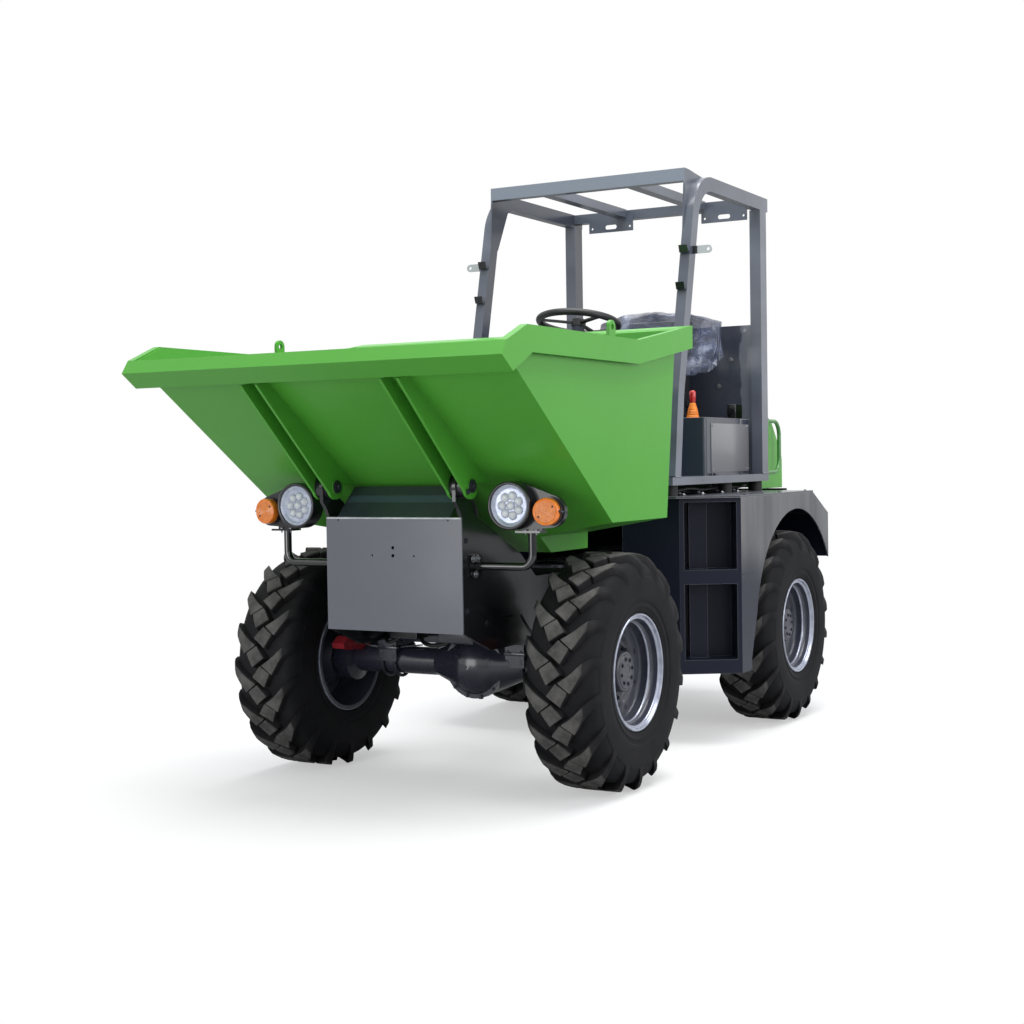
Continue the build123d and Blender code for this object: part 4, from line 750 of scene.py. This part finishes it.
# ---- nose and front frame
# The sloping panel above the bend is darker: painted shadow and painted reflection of the skip above
skip_shade_on_nose = nose_grey.step(nose_grey.part("Z"), 1.131, 1.136)
nose_grey.base(nose_grey.mix(skip_shade_on_nose, nose_grey.tone(), (62, 76, 86)))
# Near-white for the bead on the nose's bend: a painted highlight
nose_bend_highlight = Mat("nose_bend_painted_highlight", (205, 208, 214), rough=0.25, coat=0.4)
nose_bend_highlight.base(nose_bend_highlight.ramp(
    nose_bend_highlight.noise(20, 3), [(0.3, (186, 190, 197)), (0.7, (224, 226, 230))]))

front = Piece("front_frame_fittings", nose_shade_tone, bolt_steel, dark_steel, cable_black, nose_bend_highlight, nose_grey)
# Bead along the nose's bend in near-white paint, a painted highlight, and strips under its ends
front.tube([(1.3838, -0.322, 1.1292), (1.3838, 0.322, 1.1292)], 0.0042, 4, 10, 1)
for side in SIDES:
    a, b = span(side, 0.266, 0.3246)
    front.box((1.379, a, 1.115), (1.3862, b, 1.129), 5, 0.0004, 1)
    # Arm flange bolts, pivot pins and nose cover screws on the side plates
    for x, z in ((1.318, 0.966), (1.286, 0.966), (1.3, 0.905)):
        front.bolt((x, side * 0.337, z), (0, side, 0), 0.0098, 1)
    for x, z in ((1.352, 1.04), (1.352, 0.76), (1.2, 0.7), (0.74, 0.66), (0.56, 0.78)):
        front.bolt((x, side * 0.3255, z), (0, side, 0), 0.0075, 2)
    for y, out in ((0.3735, 1), (0.2725, -1)):
        outward = (0, side * out, 0)
        pin = aim((PIVOT_X, side * y, PIVOT_Z), outward)
        front.revolve([(0, 0.026), (0.004, 0.0255), (0.005, 0.021), (0.005, 0)], pin, 28, 2)
        front.bolt((PIVOT_X, side * (y + out * 0.004), PIVOT_Z), outward, 0.0125, 2, washer=False)
    front.bolt((1.41, side * 0.3735, 1.235), (0, side, 0), 0.007, 2)
    # Straps from the nose up to the pivots
    strap = hand(side, (1.24, 0.312, 1.12), (1.272, 0.318, 1.175), (1.318, 0.322, 1.215),
                 (1.337, 0.326, 1.25), (1.346, 0.327, 1.285))
    front.tube(strap, 0.0095, 3, 12, 6)
# A thin plate in the darker tone laid over the sloping panel above the bend: painted shadow of the skip
painted_shade_cover = [
    (1.3835, 1.1335), (1.2925, 1.2205), (1.2565, 1.2555), (1.2535, 1.2525), (1.2895, 1.2175), (1.3805, 1.1305),
]
front.prism(painted_shade_cover, side_plane(0.27), 0.54, 0, 0.0006, 1)
front.done("front_body")


# ---- axles
DIFF_Y = 0.12  # the differential's place across the machine
caliper_look(axle_paint)

# U-bolt round the axle tube: shares of its radius
BOW = (
    (-1, 0.8), (-1, 0.2), (-0.86, -0.5), (-0.5, -0.86), (0, -1), (0.5, -0.86), (0.86, -0.5), (1, 0.2), (1, 0.8),
)


def axle_fittings(end, axle_x, ahead):
    """Bolts, blocks and pipes of one axle, whose cover looks ahead (1) or back (-1)."""
    def at(x, y, z):
        return (axle_x + x, y, WZ + z)

    p = Piece(f"{end}_axle_fittings", axle_paint, dark_steel, bolt_steel, cable_black, red_paint)
    # Cover flange with its bolts, drain and level plugs
    for a, y, z in ring(12, 0.131, pi / 12):
        p.bolt(at(ahead * 0.076, DIFF_Y + y, z), (ahead, 0, 0), 0.0068, 1, height=0.006, turn=a)
    p.bolt(at(ahead * 0.02, DIFF_Y, -0.137), DOWN, 0.012, 1)
    p.bolt(at(ahead * 0.124, DIFF_Y - 0.045, 0.045), (ahead, -0.35, 0.35), 0.009, 1, height=0.006)
    breather = [(0, 0.007), (0.018, 0.007), (0.02, 0.011), (0.03, 0.011), (0.032, 0.006), (0.032, 0)]
    p.revolve(breather, aim(at(0, -0.06, 0.058), UP), 16, 1)
    for side in SIDES:
        pad_y = side * (0.3175 if end == "front" else 0.3)
        for out in (-0.032, 0.032):
            p.tube([at(0.068 * c, pad_y + out, 0.068 * s - 0.002) for c, s in BOW], 0.0075, 1, 10, 4)
        p.box(at(-0.078, pad_y - 0.05, 0.05), at(0.078, pad_y + 0.05, 0.064), 0, 0.003)
        for dx in (-0.066, 0.066):
            for out in (-0.032, 0.032):
                p.bolt(at(dx, pad_y + out, 0.064), UP, 0.011, 1)
        # Brake backing plate bolts
        for _, x, z in ring(8, 0.105):
            p.bolt(at(x, side * 0.5865, z), (0, side, 0), 0.0066, 1, washer=False, height=0.004)
        # Brake pipe along the tube
        p.tube([
            at(ahead * 0.04, side * 0.47, 0.075), at(ahead * 0.055, side * 0.42, 0.062),
            at(ahead * 0.052, side * 0.34, 0.056), at(ahead * 0.045, side * 0.29, 0.058),
            at(ahead * 0.02, side * 0.2 + 0.03, 0.09 + 0.02 * side),
        ], 0.0035, 2, 8, 5)
        if end == "front":
            # Caliper bolts and the brake hose up to the frame
            p.bolt(at(0.09, side * 0.5, 0.112), UP, 0.007, 2)
            p.bolt(at(0.04, side * 0.5, 0.1165), UP, 0.007, 2)
            p.tube([
                at(0.12, side * 0.485, 0.11), at(0.15, side * 0.45, 0.15),
                at(0.13, side * 0.4, 0.2), at(0.06, side * 0.345, 0.22),
            ], 0.006, 3, 10, 5)
    if end == "front":
        # Saddle beam and hydraulic blocks between the frame plates
        p.box((0.8, -0.305, 0.572), (0.93, 0.305, 0.628), 0, 0.006)
        p.box((0.96, -0.24, 0.6), (1.06, -0.1, 0.675), 3, 0.006)
        p.box((1.02, 0.03, 0.595), (1.1, 0.2, 0.665), 0, 0.006)
        # Brackets that carry the blocks from the saddle beam
        p.box((0.925, -0.22, 0.6), (0.966, -0.12, 0.622), 0, 0.002)
        p.box((1.03, -0.106, 0.648), (1.056, 0.036, 0.662), 0, 0.002)
        p.tube([(1.01, -0.12, 0.62), (1.07, -0.05, 0.585), (1.09, 0.05, 0.59), (1.07, 0.1, 0.62)], 0.009, 3, 10, 6)
        p.tube([(1.0, -0.2, 0.61), (1.03, -0.26, 0.58), (0.99, -0.3, 0.6), (0.93, -0.302, 0.62)], 0.008, 3, 10, 6)
    p.done("front_body" if end == "front" else "rear_body")


axle_fittings("front", FX, 1)
axle_fittings("rear", RX, -1)


# ---- skip
# Dark green for a painted shadow along the skip's seams
seam_shadow_green = speckled("skip_seam_shadow", (18, 44, 14), (30, 66, 24), 40, rough=0.6)
skip = Piece("skip_fittings", green, seam_shadow_green, dark_steel)
for side in SIDES:
    # Washers round the pins of the rib ears
    for y, out in ((0.3675, 1), (0.2785, -1)):
        washer = aim((PIVOT_X, side * y, PIVOT_Z), (0, side * out, 0))
        skip.revolve([(0, 0.031), (0.0035, 0.0305), (0.0045, 0.0275), (0.0045, 0)], washer, 32, 0)
# Weld strip that closes the seam between the rear wall and the rim plate
seam = [(0.4125, 1.9095), (0.4345, 1.9025), (0.4345, 1.8965), (0.4125, 1.9035)]
skip.prism(seam, side_plane(0.825), 1.65, 0, 0.0006, 1)
skip.done("skip")


# ---- seat
seat_vinyl = Mat("seat_black_vinyl", (20, 21, 24), rough=0.42, coat=0.15)
seat_vinyl.base(seat_vinyl.ramp(seat_vinyl.noise(12, 4), [(0.3, (15, 16, 19)), (0.75, (31, 33, 38))]))
seat_vinyl.bump(seat_vinyl.noise(420, 3), 0.25, 0.0008)
seat_vinyl.bump(seat_vinyl.noise(9, 3), 0.25, 0.006)
SWELL_CAP = 0.012
SWELL_FRAMES = 20
SEAM_WIDTH = SEAM_DEPTH = 0.007


def evaluated_mesh(o):
    """A mesh of the object as its modifiers leave it."""
    return bpy.data.meshes.new_from_object(o.evaluated_get(bpy.context.evaluated_depsgraph_get()))


def swell(o, cap):
    """Blows a closed pad up as cloth and keeps the swollen form, within the cap."""
    start = [v.co.copy() for v in o.data.vertices]
    cloth = o.modifiers.new("swell", "CLOTH")
    cloth.settings.quality = 5
    cloth.settings.mass = 0.3
    cloth.settings.use_pressure = True
    cloth.settings.uniform_pressure_force = 4
    cloth.settings.effector_weights.gravity = 0
    cloth.collision_settings.use_collision = False
    cloth.point_cache.frame_start = 1
    cloth.point_cache.frame_end = SWELL_FRAMES
    for f in range(1, SWELL_FRAMES + 1):
        scene.frame_set(f)
    swollen = evaluated_mesh(o)
    ends = [v.co.copy() for v in swollen.vertices]
    o.modifiers.remove(cloth)
    bpy.data.meshes.remove(swollen)
    for v, a, b in zip(o.data.vertices, start, ends):
        move = b - a
        if move.length > cap:
            move *= cap / move.length
        v.co = a + move
    scene.frame_set(1)


def pad(name, corners, half, inset, seams, replaced):
    """A seat pad from its side outline: swollen vinyl with sewn channels."""
    centre = sum((Vector(c) for c in corners), Vector((0, 0))) / len(corners)
    outline = []
    for x, z in corners:
        run = Vector((x, z)) - centre
        outline.append(centre + run * (1 - inset / run.length))
    p = Piece(name, seat_vinyl)
    p.prism([(q.x, q.y) for q in outline], side_plane(half - inset), 2 * (half - inset), 0, 0.026, 4)
    bmesh.ops.recalc_face_normals(p.bm, faces=p.bm.faces[:])
    o = placed(name, into_mesh(p.bm, name))
    o.data.materials.append(seat_vinyl.mat)
    remesh = o.modifiers.new("remesh", "REMESH")
    remesh.mode = "VOXEL"
    remesh.voxel_size = 0.009
    settled = evaluated_mesh(o)
    o.modifiers.remove(remesh)
    o.data = settled
    swell(o, SWELL_CAP)
    for v in o.data.vertices:
        depth = 0.0
        for axis, level in seams:
            away = abs(getattr(v.co, axis) - level)
            depth = max(depth, exp(-(away / SEAM_WIDTH) ** 2))
        if depth > 0.01:
            inward = Vector((centre.x, 0, centre.y)) - v.co
            inward.y = 0
            v.co += inward.normalized() * SEAM_DEPTH * depth
    for f in o.data.polygons:
        f.use_smooth = True
    sub = o.modifiers.new("sub", "SUBSURF")
    sub.levels = sub.render_levels = 1
    smooth = evaluated_mesh(o)
    o.modifiers.remove(sub)
    o.data = smooth
    bpy.context.view_layer.update()
    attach(o, "rear_body")
    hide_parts(replaced)


pad("seat_pad", [(-0.714, 1.555), (-0.714, 1.685), (-1.146, 1.666), (-1.15, 1.555)], 0.25, 0.012,
    [("y", -0.15), ("y", 0.15), ("x", -0.86), ("x", -1.0)], "seat_cushion")
pad("seat_back_pad", [(-1.048, 1.695), (-1.124, 2.108), (-1.242, 2.108), (-1.176, 1.6), (-1.152, 1.6)], 0.25,
    0.012, [("y", -0.15), ("y", 0.15), ("z", 1.86), ("z", 1.97)], "seat_back")

# Clear delivery film drawn over the seat back
film = Mat("clear_film", (150, 163, 190), rough=0.12, coat=1.0, coat_rough=0.04)
film.feed(film.bsdf.inputs["Alpha"], film.step(film.noise(6, 3), 0.35, 0.65, 0.5, 0.86))
# The colour runs at random from dark blue to near white: painted shade and painted highlights on the crumpled film
film.base(film.ramp(
    film.noise(5.5, 5, 0.6), [(0.4, (34, 41, 62)), (0.53, (66, 78, 110)), (0.68, (188, 197, 220))]))
film.bump(film.noise(9, 6, 0.7), 0.9, 0.02)
film.bump(film.noise(22, 3, 0.5, stretch=(1, 1, 0.22)), 0.8, 0.012)


def film_sheet():
    """A crumpled skirt round the seat back, closed over its top."""
    rows = []
    loops, levels = 180, 60
    deep, corner = 0.1, 2.6
    for j in range(levels + 1):
        v = j / levels
        row = []
        for a, ca, sa in ring(loops):
            left = max(0.0, sa)
            bottom = 1.88 - 0.13 * max(0.0, ca) + 0.06 * max(0.0, -ca) + 0.025 * sin(3 * a + 0.5)
            crown = 2.142 - 0.045 * abs(sa) ** 3
            if v < 0.8:
                z = bottom + (crown - 0.03 - bottom) * (v / 0.8) ** 0.9
                tight = 1.0
            else:
                t = (v - 0.8) / 0.2 * pi / 2
                z = crown - 0.03 + 0.03 * sin(t)
                tight = max(cos(t), 0.0)
            lean = -1.11 - 0.16 * (z - 1.65)
            wide = 0.372 + 0.03 * left if sa > 0 else 0.3
            y = wide * copysign(abs(sa) ** (2 / corner), sa)
            x = deep * copysign(abs(ca) ** (2 / corner), ca)
            fold = 0.01 * sin(9 * a + 5 * z) + 0.007 * sin(17 * a - 9 * z)
            fold += 0.03 * (noise.noise(Vector((3.2 * x * 6, y * 9, z * 6))) + 0.15)
            fold *= 1.0 - 0.55 * v
            out = 1 + fold / max(0.05, hypot(x, y))
            ripple = 0.01 * noise.noise(Vector((a * 4, v * 8, 2.0)))
            row.append(Vector((lean + x * tight * out, y * tight * out + 0.01, z + ripple)))
        rows.append(row)
    p = Piece("seat_film", film)
    p.faces_from(rows, 0)
    shown = sum(f.calc_area() for f in p.bm.faces)
    return p.done("rear_body", sharp=180), shown


film_piece, film_area = film_sheet()

# ---- console box, lever, wheel, panel
boot_orange = speckled(
    "lever_boot_orange_rubber", (206, 104, 18), (236, 140, 36), 40, rough=0.5, bump=0.15)
knob_red = speckled("lever_knob_red", (168, 26, 28), (204, 42, 40), 60, rough=0.25, coat=0.5)
lever = Piece("lever_boot", boot_orange, knob_red, dark_steel)
base = Matrix.Translation((-0.834, 0.385, 1.555))
lever.revolve([
    (0.0, 0.034), (0.006, 0.034), (0.0085, 0.0315), (0.016, 0.0308), (0.019, 0.0285), (0.026, 0.0295),
    (0.03, 0.0268), (0.037, 0.0276), (0.042, 0.0245), (0.049, 0.025), (0.055, 0.0215), (0.062, 0.0205),
    (0.069, 0.0175), (0.076, 0.0165), (0.08, 0.0145), (0.083, 0.009),
], base, 40, 0)
lever.revolve([(0.074, 0.0075), (0.11, 0.0075)], base, 20, 2)
lever.revolve([
    (0.083, 0.009), (0.084, 0.0135), (0.088, 0.0152), (0.11, 0.0165), (0.128, 0.0172), (0.137, 0.0162),
    (0.143, 0.0118), (0.1455, 0.0),
], base, 36, 1)
lever.done("rear_body", ("drive_lever",))

console = Piece("console_fittings", side_grey, console_paint, dark_steel, bolt_steel, plastic_black)
for side in SIDES:
    a, b = span(side, 0.5095, 0.5135)
    console.box((-1.292, a, 1.28), (-0.765, b, 1.528), 0, 0.0018)
    a, b = span(side, 0.3, 0.5097)
    console.box((-1.305, a, 1.266), (-1.182, b, 1.556), 1, 0.004)
    for x, z in ((-1.28, 1.292), (-0.78, 1.292), (-1.28, 1.516), (-0.78, 1.516)):
        console.bolt((x, side * 0.5135, z), (0, side, 0), 0.0045, 3, height=0.003)
console.box((-1.182, -0.5085, 1.5545), (-0.696, 0.5085, 1.5575), 1, 0.0012)
console.done("rear_body")

rear_dark = paint("rear_panel_paint", (44, 51, 67), rough=0.24, coat=0.4, dust=0.12)
rear_panel_look(rear_dark)
dress(rear_dark, "rear_panel")
panel = Piece("rear_panel_fittings", bolt_steel, plastic_black, rear_dark)
for y in (-0.48, -0.24, 0.0, 0.24, 0.48):
    for z in (1.3, 2.03):
        panel.bolt((PANEL_X, y, z), (1, 0, 0), 0.0065, 0, height=0.005)
for y, z in ((0.4, 1.88), (0.33, 1.74), (-0.33, 1.74)):
    panel.bolt((PANEL_X, y, z), (1, 0, 0), 0.0085, 0, height=0.006)
for side in SIDES:
    panel.box((-1.3392, side * 0.4 - 0.024, 1.56), (-1.3355, side * 0.4 + 0.024, 1.64), 1, 0.0015)
panel.done("rear_body")

# Steering wheel and dash keep their solids
dress(speckled(
    "steering_wheel_skin", (17, 18, 20), (30, 31, 34), 220, rough=0.45, bump=0.25), "steering_wheel")
dress(speckled("dash_plastic", (26, 32, 44), (38, 45, 60), 160, rough=0.42, bump=0.15), "dash_console")


# ---- side bodies, deck, frame
side_tone = paint("step_cabinet_paint", (18, 22, 40), rough=0.42, coat=0.05, dust=0.01, edge_wear_and_highlight=0.3)
side_tone.set("Specular IOR Level", 0.2)
cabinet_look(side_tone)
dress(side_tone, "side_body_left", "side_body_right")
dress(paint("deck_plate_paint", (38, 42, 54), rough=0.34, coat=0.3, dust=0.12, edge_wear_and_highlight=0.5), "deck_plate")

side_trim = Piece("side_body_fittings", dark_steel, side_tone, bolt_steel, plastic_black)
for side in SIDES:
    # Screws along the deck's edge and the seam in the skirt
    for x in (-0.42, -0.66, -0.9, -1.3):
        side_trim.bolt((x, side * 0.82, DECK_TOP), UP, 0.0055, 0, height=0.004)
    a, b = span(side, 0.8492, 0.8506)
    side_trim.box((-0.452, a, 0.8), (-0.298, b, 0.803), 3, 0.0)
side_trim.done("rear_body")

under = Piece("cab_mount_fittings", dark_steel, cable_black, bolt_steel, rubber_black)
for side in SIDES:
    # Mount bolts, two hoses on the deck and the clips of the outer one
    for x in (-0.214, -0.784, -1.354):
        under.bolt((x, side * 0.525, 1.264), UP, 0.012, 0)
    under.tube(hand(
        side, (-0.17, 0.47, 1.205), (-0.32, 0.49, 1.196), (-0.5, 0.5, 1.205), (-0.7, 0.485, 1.195),
        (-0.95, 0.5, 1.203), (-1.2, 0.48, 1.198), (-1.38, 0.46, 1.205)), 0.009, 1, 10, 6)
    under.tube(hand(
        side, (-0.2, 0.44, 1.187), (-0.42, 0.455, 1.195), (-0.62, 0.47, 1.183), (-0.8, 0.45, 1.191),
        (-1.0, 0.46, 1.181), (-1.18, 0.45, 1.187)), 0.0065, 1, 10, 6)
    for x in (-0.36, -0.6, -0.86, -1.08):
        under.box((x - 0.018, side * 0.49 - 0.022, 1.176), (x + 0.018, side * 0.49 + 0.022, 1.19), 0, 0.002)
        under.bolt((x, side * 0.528, 1.176), UP, 0.009, 2)
under.done("rear_body")

# ---- roll-over frame
brackets = Mat("post_clip_paint", (20, 22, 26), rough=0.3, coat=0.3)
tips = brackets.step(brackets.apart("Y"), 0.604, 0.606)
clip = brackets.ramp(brackets.noise(40, 3), [(0.3, (15, 17, 20)), (0.75, (30, 32, 37))])
brackets.base(brackets.mix(tips, clip, (176, 180, 184)))
dress(brackets, "post_brackets")
rops_trim = Piece("rops_fittings", rops_grey, dark_steel, bolt_steel, plastic_black)
for side in SIDES:
    # Weld beads along the posts' feet
    for x, depth, inner_y in ((-0.18, 0.07, 0.531), (-1.364, 0.09, 0.521)):
        for y in (0.579, inner_y):
            ends = [(x - depth / 2, side * y, 1.2655), (x + depth / 2, side * y, 1.2655)]
            rops_trim.tube(ends, 0.004, 0, 8, 1)
for side in SIDES:
    # Dark caps on the ends of the header
    a, b = span(side, 0.5298, 0.5335)
    rops_trim.box((-0.4485, a, 2.6925), (-0.4035, b, 2.7495), 3, 0.0015)
rops_trim.done("rear_body")

# ---- lamps on the bumper
tail_red = speckled("tail_lamp_red", (150, 14, 16), (196, 30, 28), 60, rough=0.18, coat=0.7)
tails = Piece("tail_lamp_lenses", tail_red, orange, plastic_black, bolt_steel)
for side in SIDES:
    for near_y, far_y, mat, count in ((0.402, 0.478, 0, 7), (0.362, 0.398, 1, 3)):
        a, b = span(side, near_y, far_y)
        tails.box((-1.9495, a, 1.057), (-1.9395, b, 1.113), mat, 0.004, 3)
        for i in range(count):
            y = a + (b - a) * (i + 0.5) / count
            tails.box((-1.9508, y - 0.0022, 1.062), (-1.949, y + 0.0022, 1.108), mat, 0.0008, 1)
for y in (-0.45, -0.2, 0.2, 0.45):
    for z in (0.64, 0.9):
        tails.bolt((-1.9143, y, z), (-1, 0, 0), 0.009, 3)
tails.done("rear_body")


# ---- stage, light, camera
def bare_tree(owner):
    """The node tree of a material or world, emptied."""
    owner.use_nodes = True
    owner.node_tree.nodes.clear()
    return owner.node_tree


def mixed(nt, factor, a, b):
    """Two shaders mixed by a factor."""
    mixer = add_node(nt, "MixShader")
    for socket, source in zip(mixer.inputs, (factor, a, b)):
        nt.links.new(source, socket)
    return mixer.outputs[0]


def camera_switch(nt, lit, white, glossy=True):
    """One shader for light, another for what camera, glossy and clear rays see."""
    path = add_node(nt, "LightPath")
    value = path.outputs["Is Camera Ray"]
    for name in ("Is Transmission Ray",) + (("Is Glossy Ray",) if glossy else ()):
        either = add_node(nt, "Math")
        either.operation = "MAXIMUM"
        nt.links.new(value, either.inputs[0])
        nt.links.new(path.outputs[name], either.inputs[1])
        value = either.outputs[0]
    return mixed(nt, value, lit, white)


floor_mat = bpy.data.materials.new("floor_pale")
nt = bare_tree(floor_mat)
out = add_node(nt, "OutputMaterial")
lit = add_node(nt, "BsdfDiffuse", Color=(0.46, 0.46, 0.46, 1))
near_floor = add_node(nt, "BsdfDiffuse", Color=(0.95, 0.95, 0.95, 1))
white = add_node(nt, "Emission", Color=(1, 1, 1, 1), Strength=1.0)
# Far from the object the floor is as white as the backdrop; near it the shadow shows
place = add_node(nt, "TexCoord")
away = add_node(nt, "VectorMath")
away.operation = "LENGTH"
nt.links.new(place.outputs["Object"], away.inputs[0])
fade = add_node(nt, "MapRange", From_Min=1.6, From_Max=3.4, To_Min=0.45, To_Max=1.0)
fade.interpolation_type = "SMOOTHSTEP"
nt.links.new(away.outputs["Value"], fade.inputs["Value"])
seen = mixed(nt, fade.outputs["Result"], near_floor.outputs[0], white.outputs[0])
nt.links.new(camera_switch(nt, lit.outputs[0], seen, glossy=False), out.inputs["Surface"])

bpy.ops.mesh.primitive_plane_add(size=90, location=(0, 0, 0))
floor = bpy.context.object
floor.name = "floor"
floor.data.materials.append(floor_mat)

world = bpy.data.worlds.new("studio")
scene.world = world
wn = bare_tree(world)
w_out = add_node(wn, "OutputWorld")
w_light = add_node(wn, "Background", Color=(0.93, 0.96, 1.0, 1), Strength=0.62)
w_white = add_node(wn, "Background", Color=(1, 1, 1, 1), Strength=1.0)
wn.links.new(camera_switch(wn, w_light.outputs[0], w_white.outputs[0]), w_out.inputs["Surface"])


def area(name, place, target, size, energy):
    """A rectangular lamp that looks at its target."""
    data = bpy.data.lights.new(name, "AREA")
    data.shape = "RECTANGLE"
    data.size, data.size_y = size
    data.energy = energy
    lamp = placed(name, data)
    lamp.location = place
    lamp.rotation_mode = "QUATERNION"
    lamp.rotation_quaternion = (Vector(target) - Vector(place)).to_track_quat("-Z", "Y")


area("top_key", (0.0, 0.8, 7.0), (0, 0, 1), (6, 6), 650)
area("side_key", (0.5, 7.5, 3.0), (0, 0, 1), (5, 3), 200)
area("front_fill", (7.5, -1.5, 1.4), (0, 0, 1.2), (4, 2.4), 110)

# Camera fitted to the picture's perspective
yaw, pitch, roll = (radians(a) for a in (28.958, -1.853, -0.882))
ahead = Vector((-cos(yaw) * cos(pitch), -sin(yaw) * cos(pitch), sin(pitch)))
right = ahead.cross(Vector((0, 0, 1))).normalized()
over = right.cross(ahead)
right_r = cos(roll) * right + sin(roll) * over
over_r = -sin(roll) * right + cos(roll) * over
cam_data = bpy.data.cameras.new("camera")
cam_data.lens = 56.21
cam_data.sensor_width = 36
cam_data.shift_x = -0.0046
cam_data.shift_y = 0.0008
cam_data.clip_end = 200
camera = placed("camera", cam_data)
turn = Matrix((right_r, over_r, -ahead)).transposed().to_4x4()
camera.matrix_world = Matrix.Translation((FX + 5.893, 3.5586, 1.3518)) @ turn
scene.camera = camera
scene.view_settings.view_transform = "Standard"
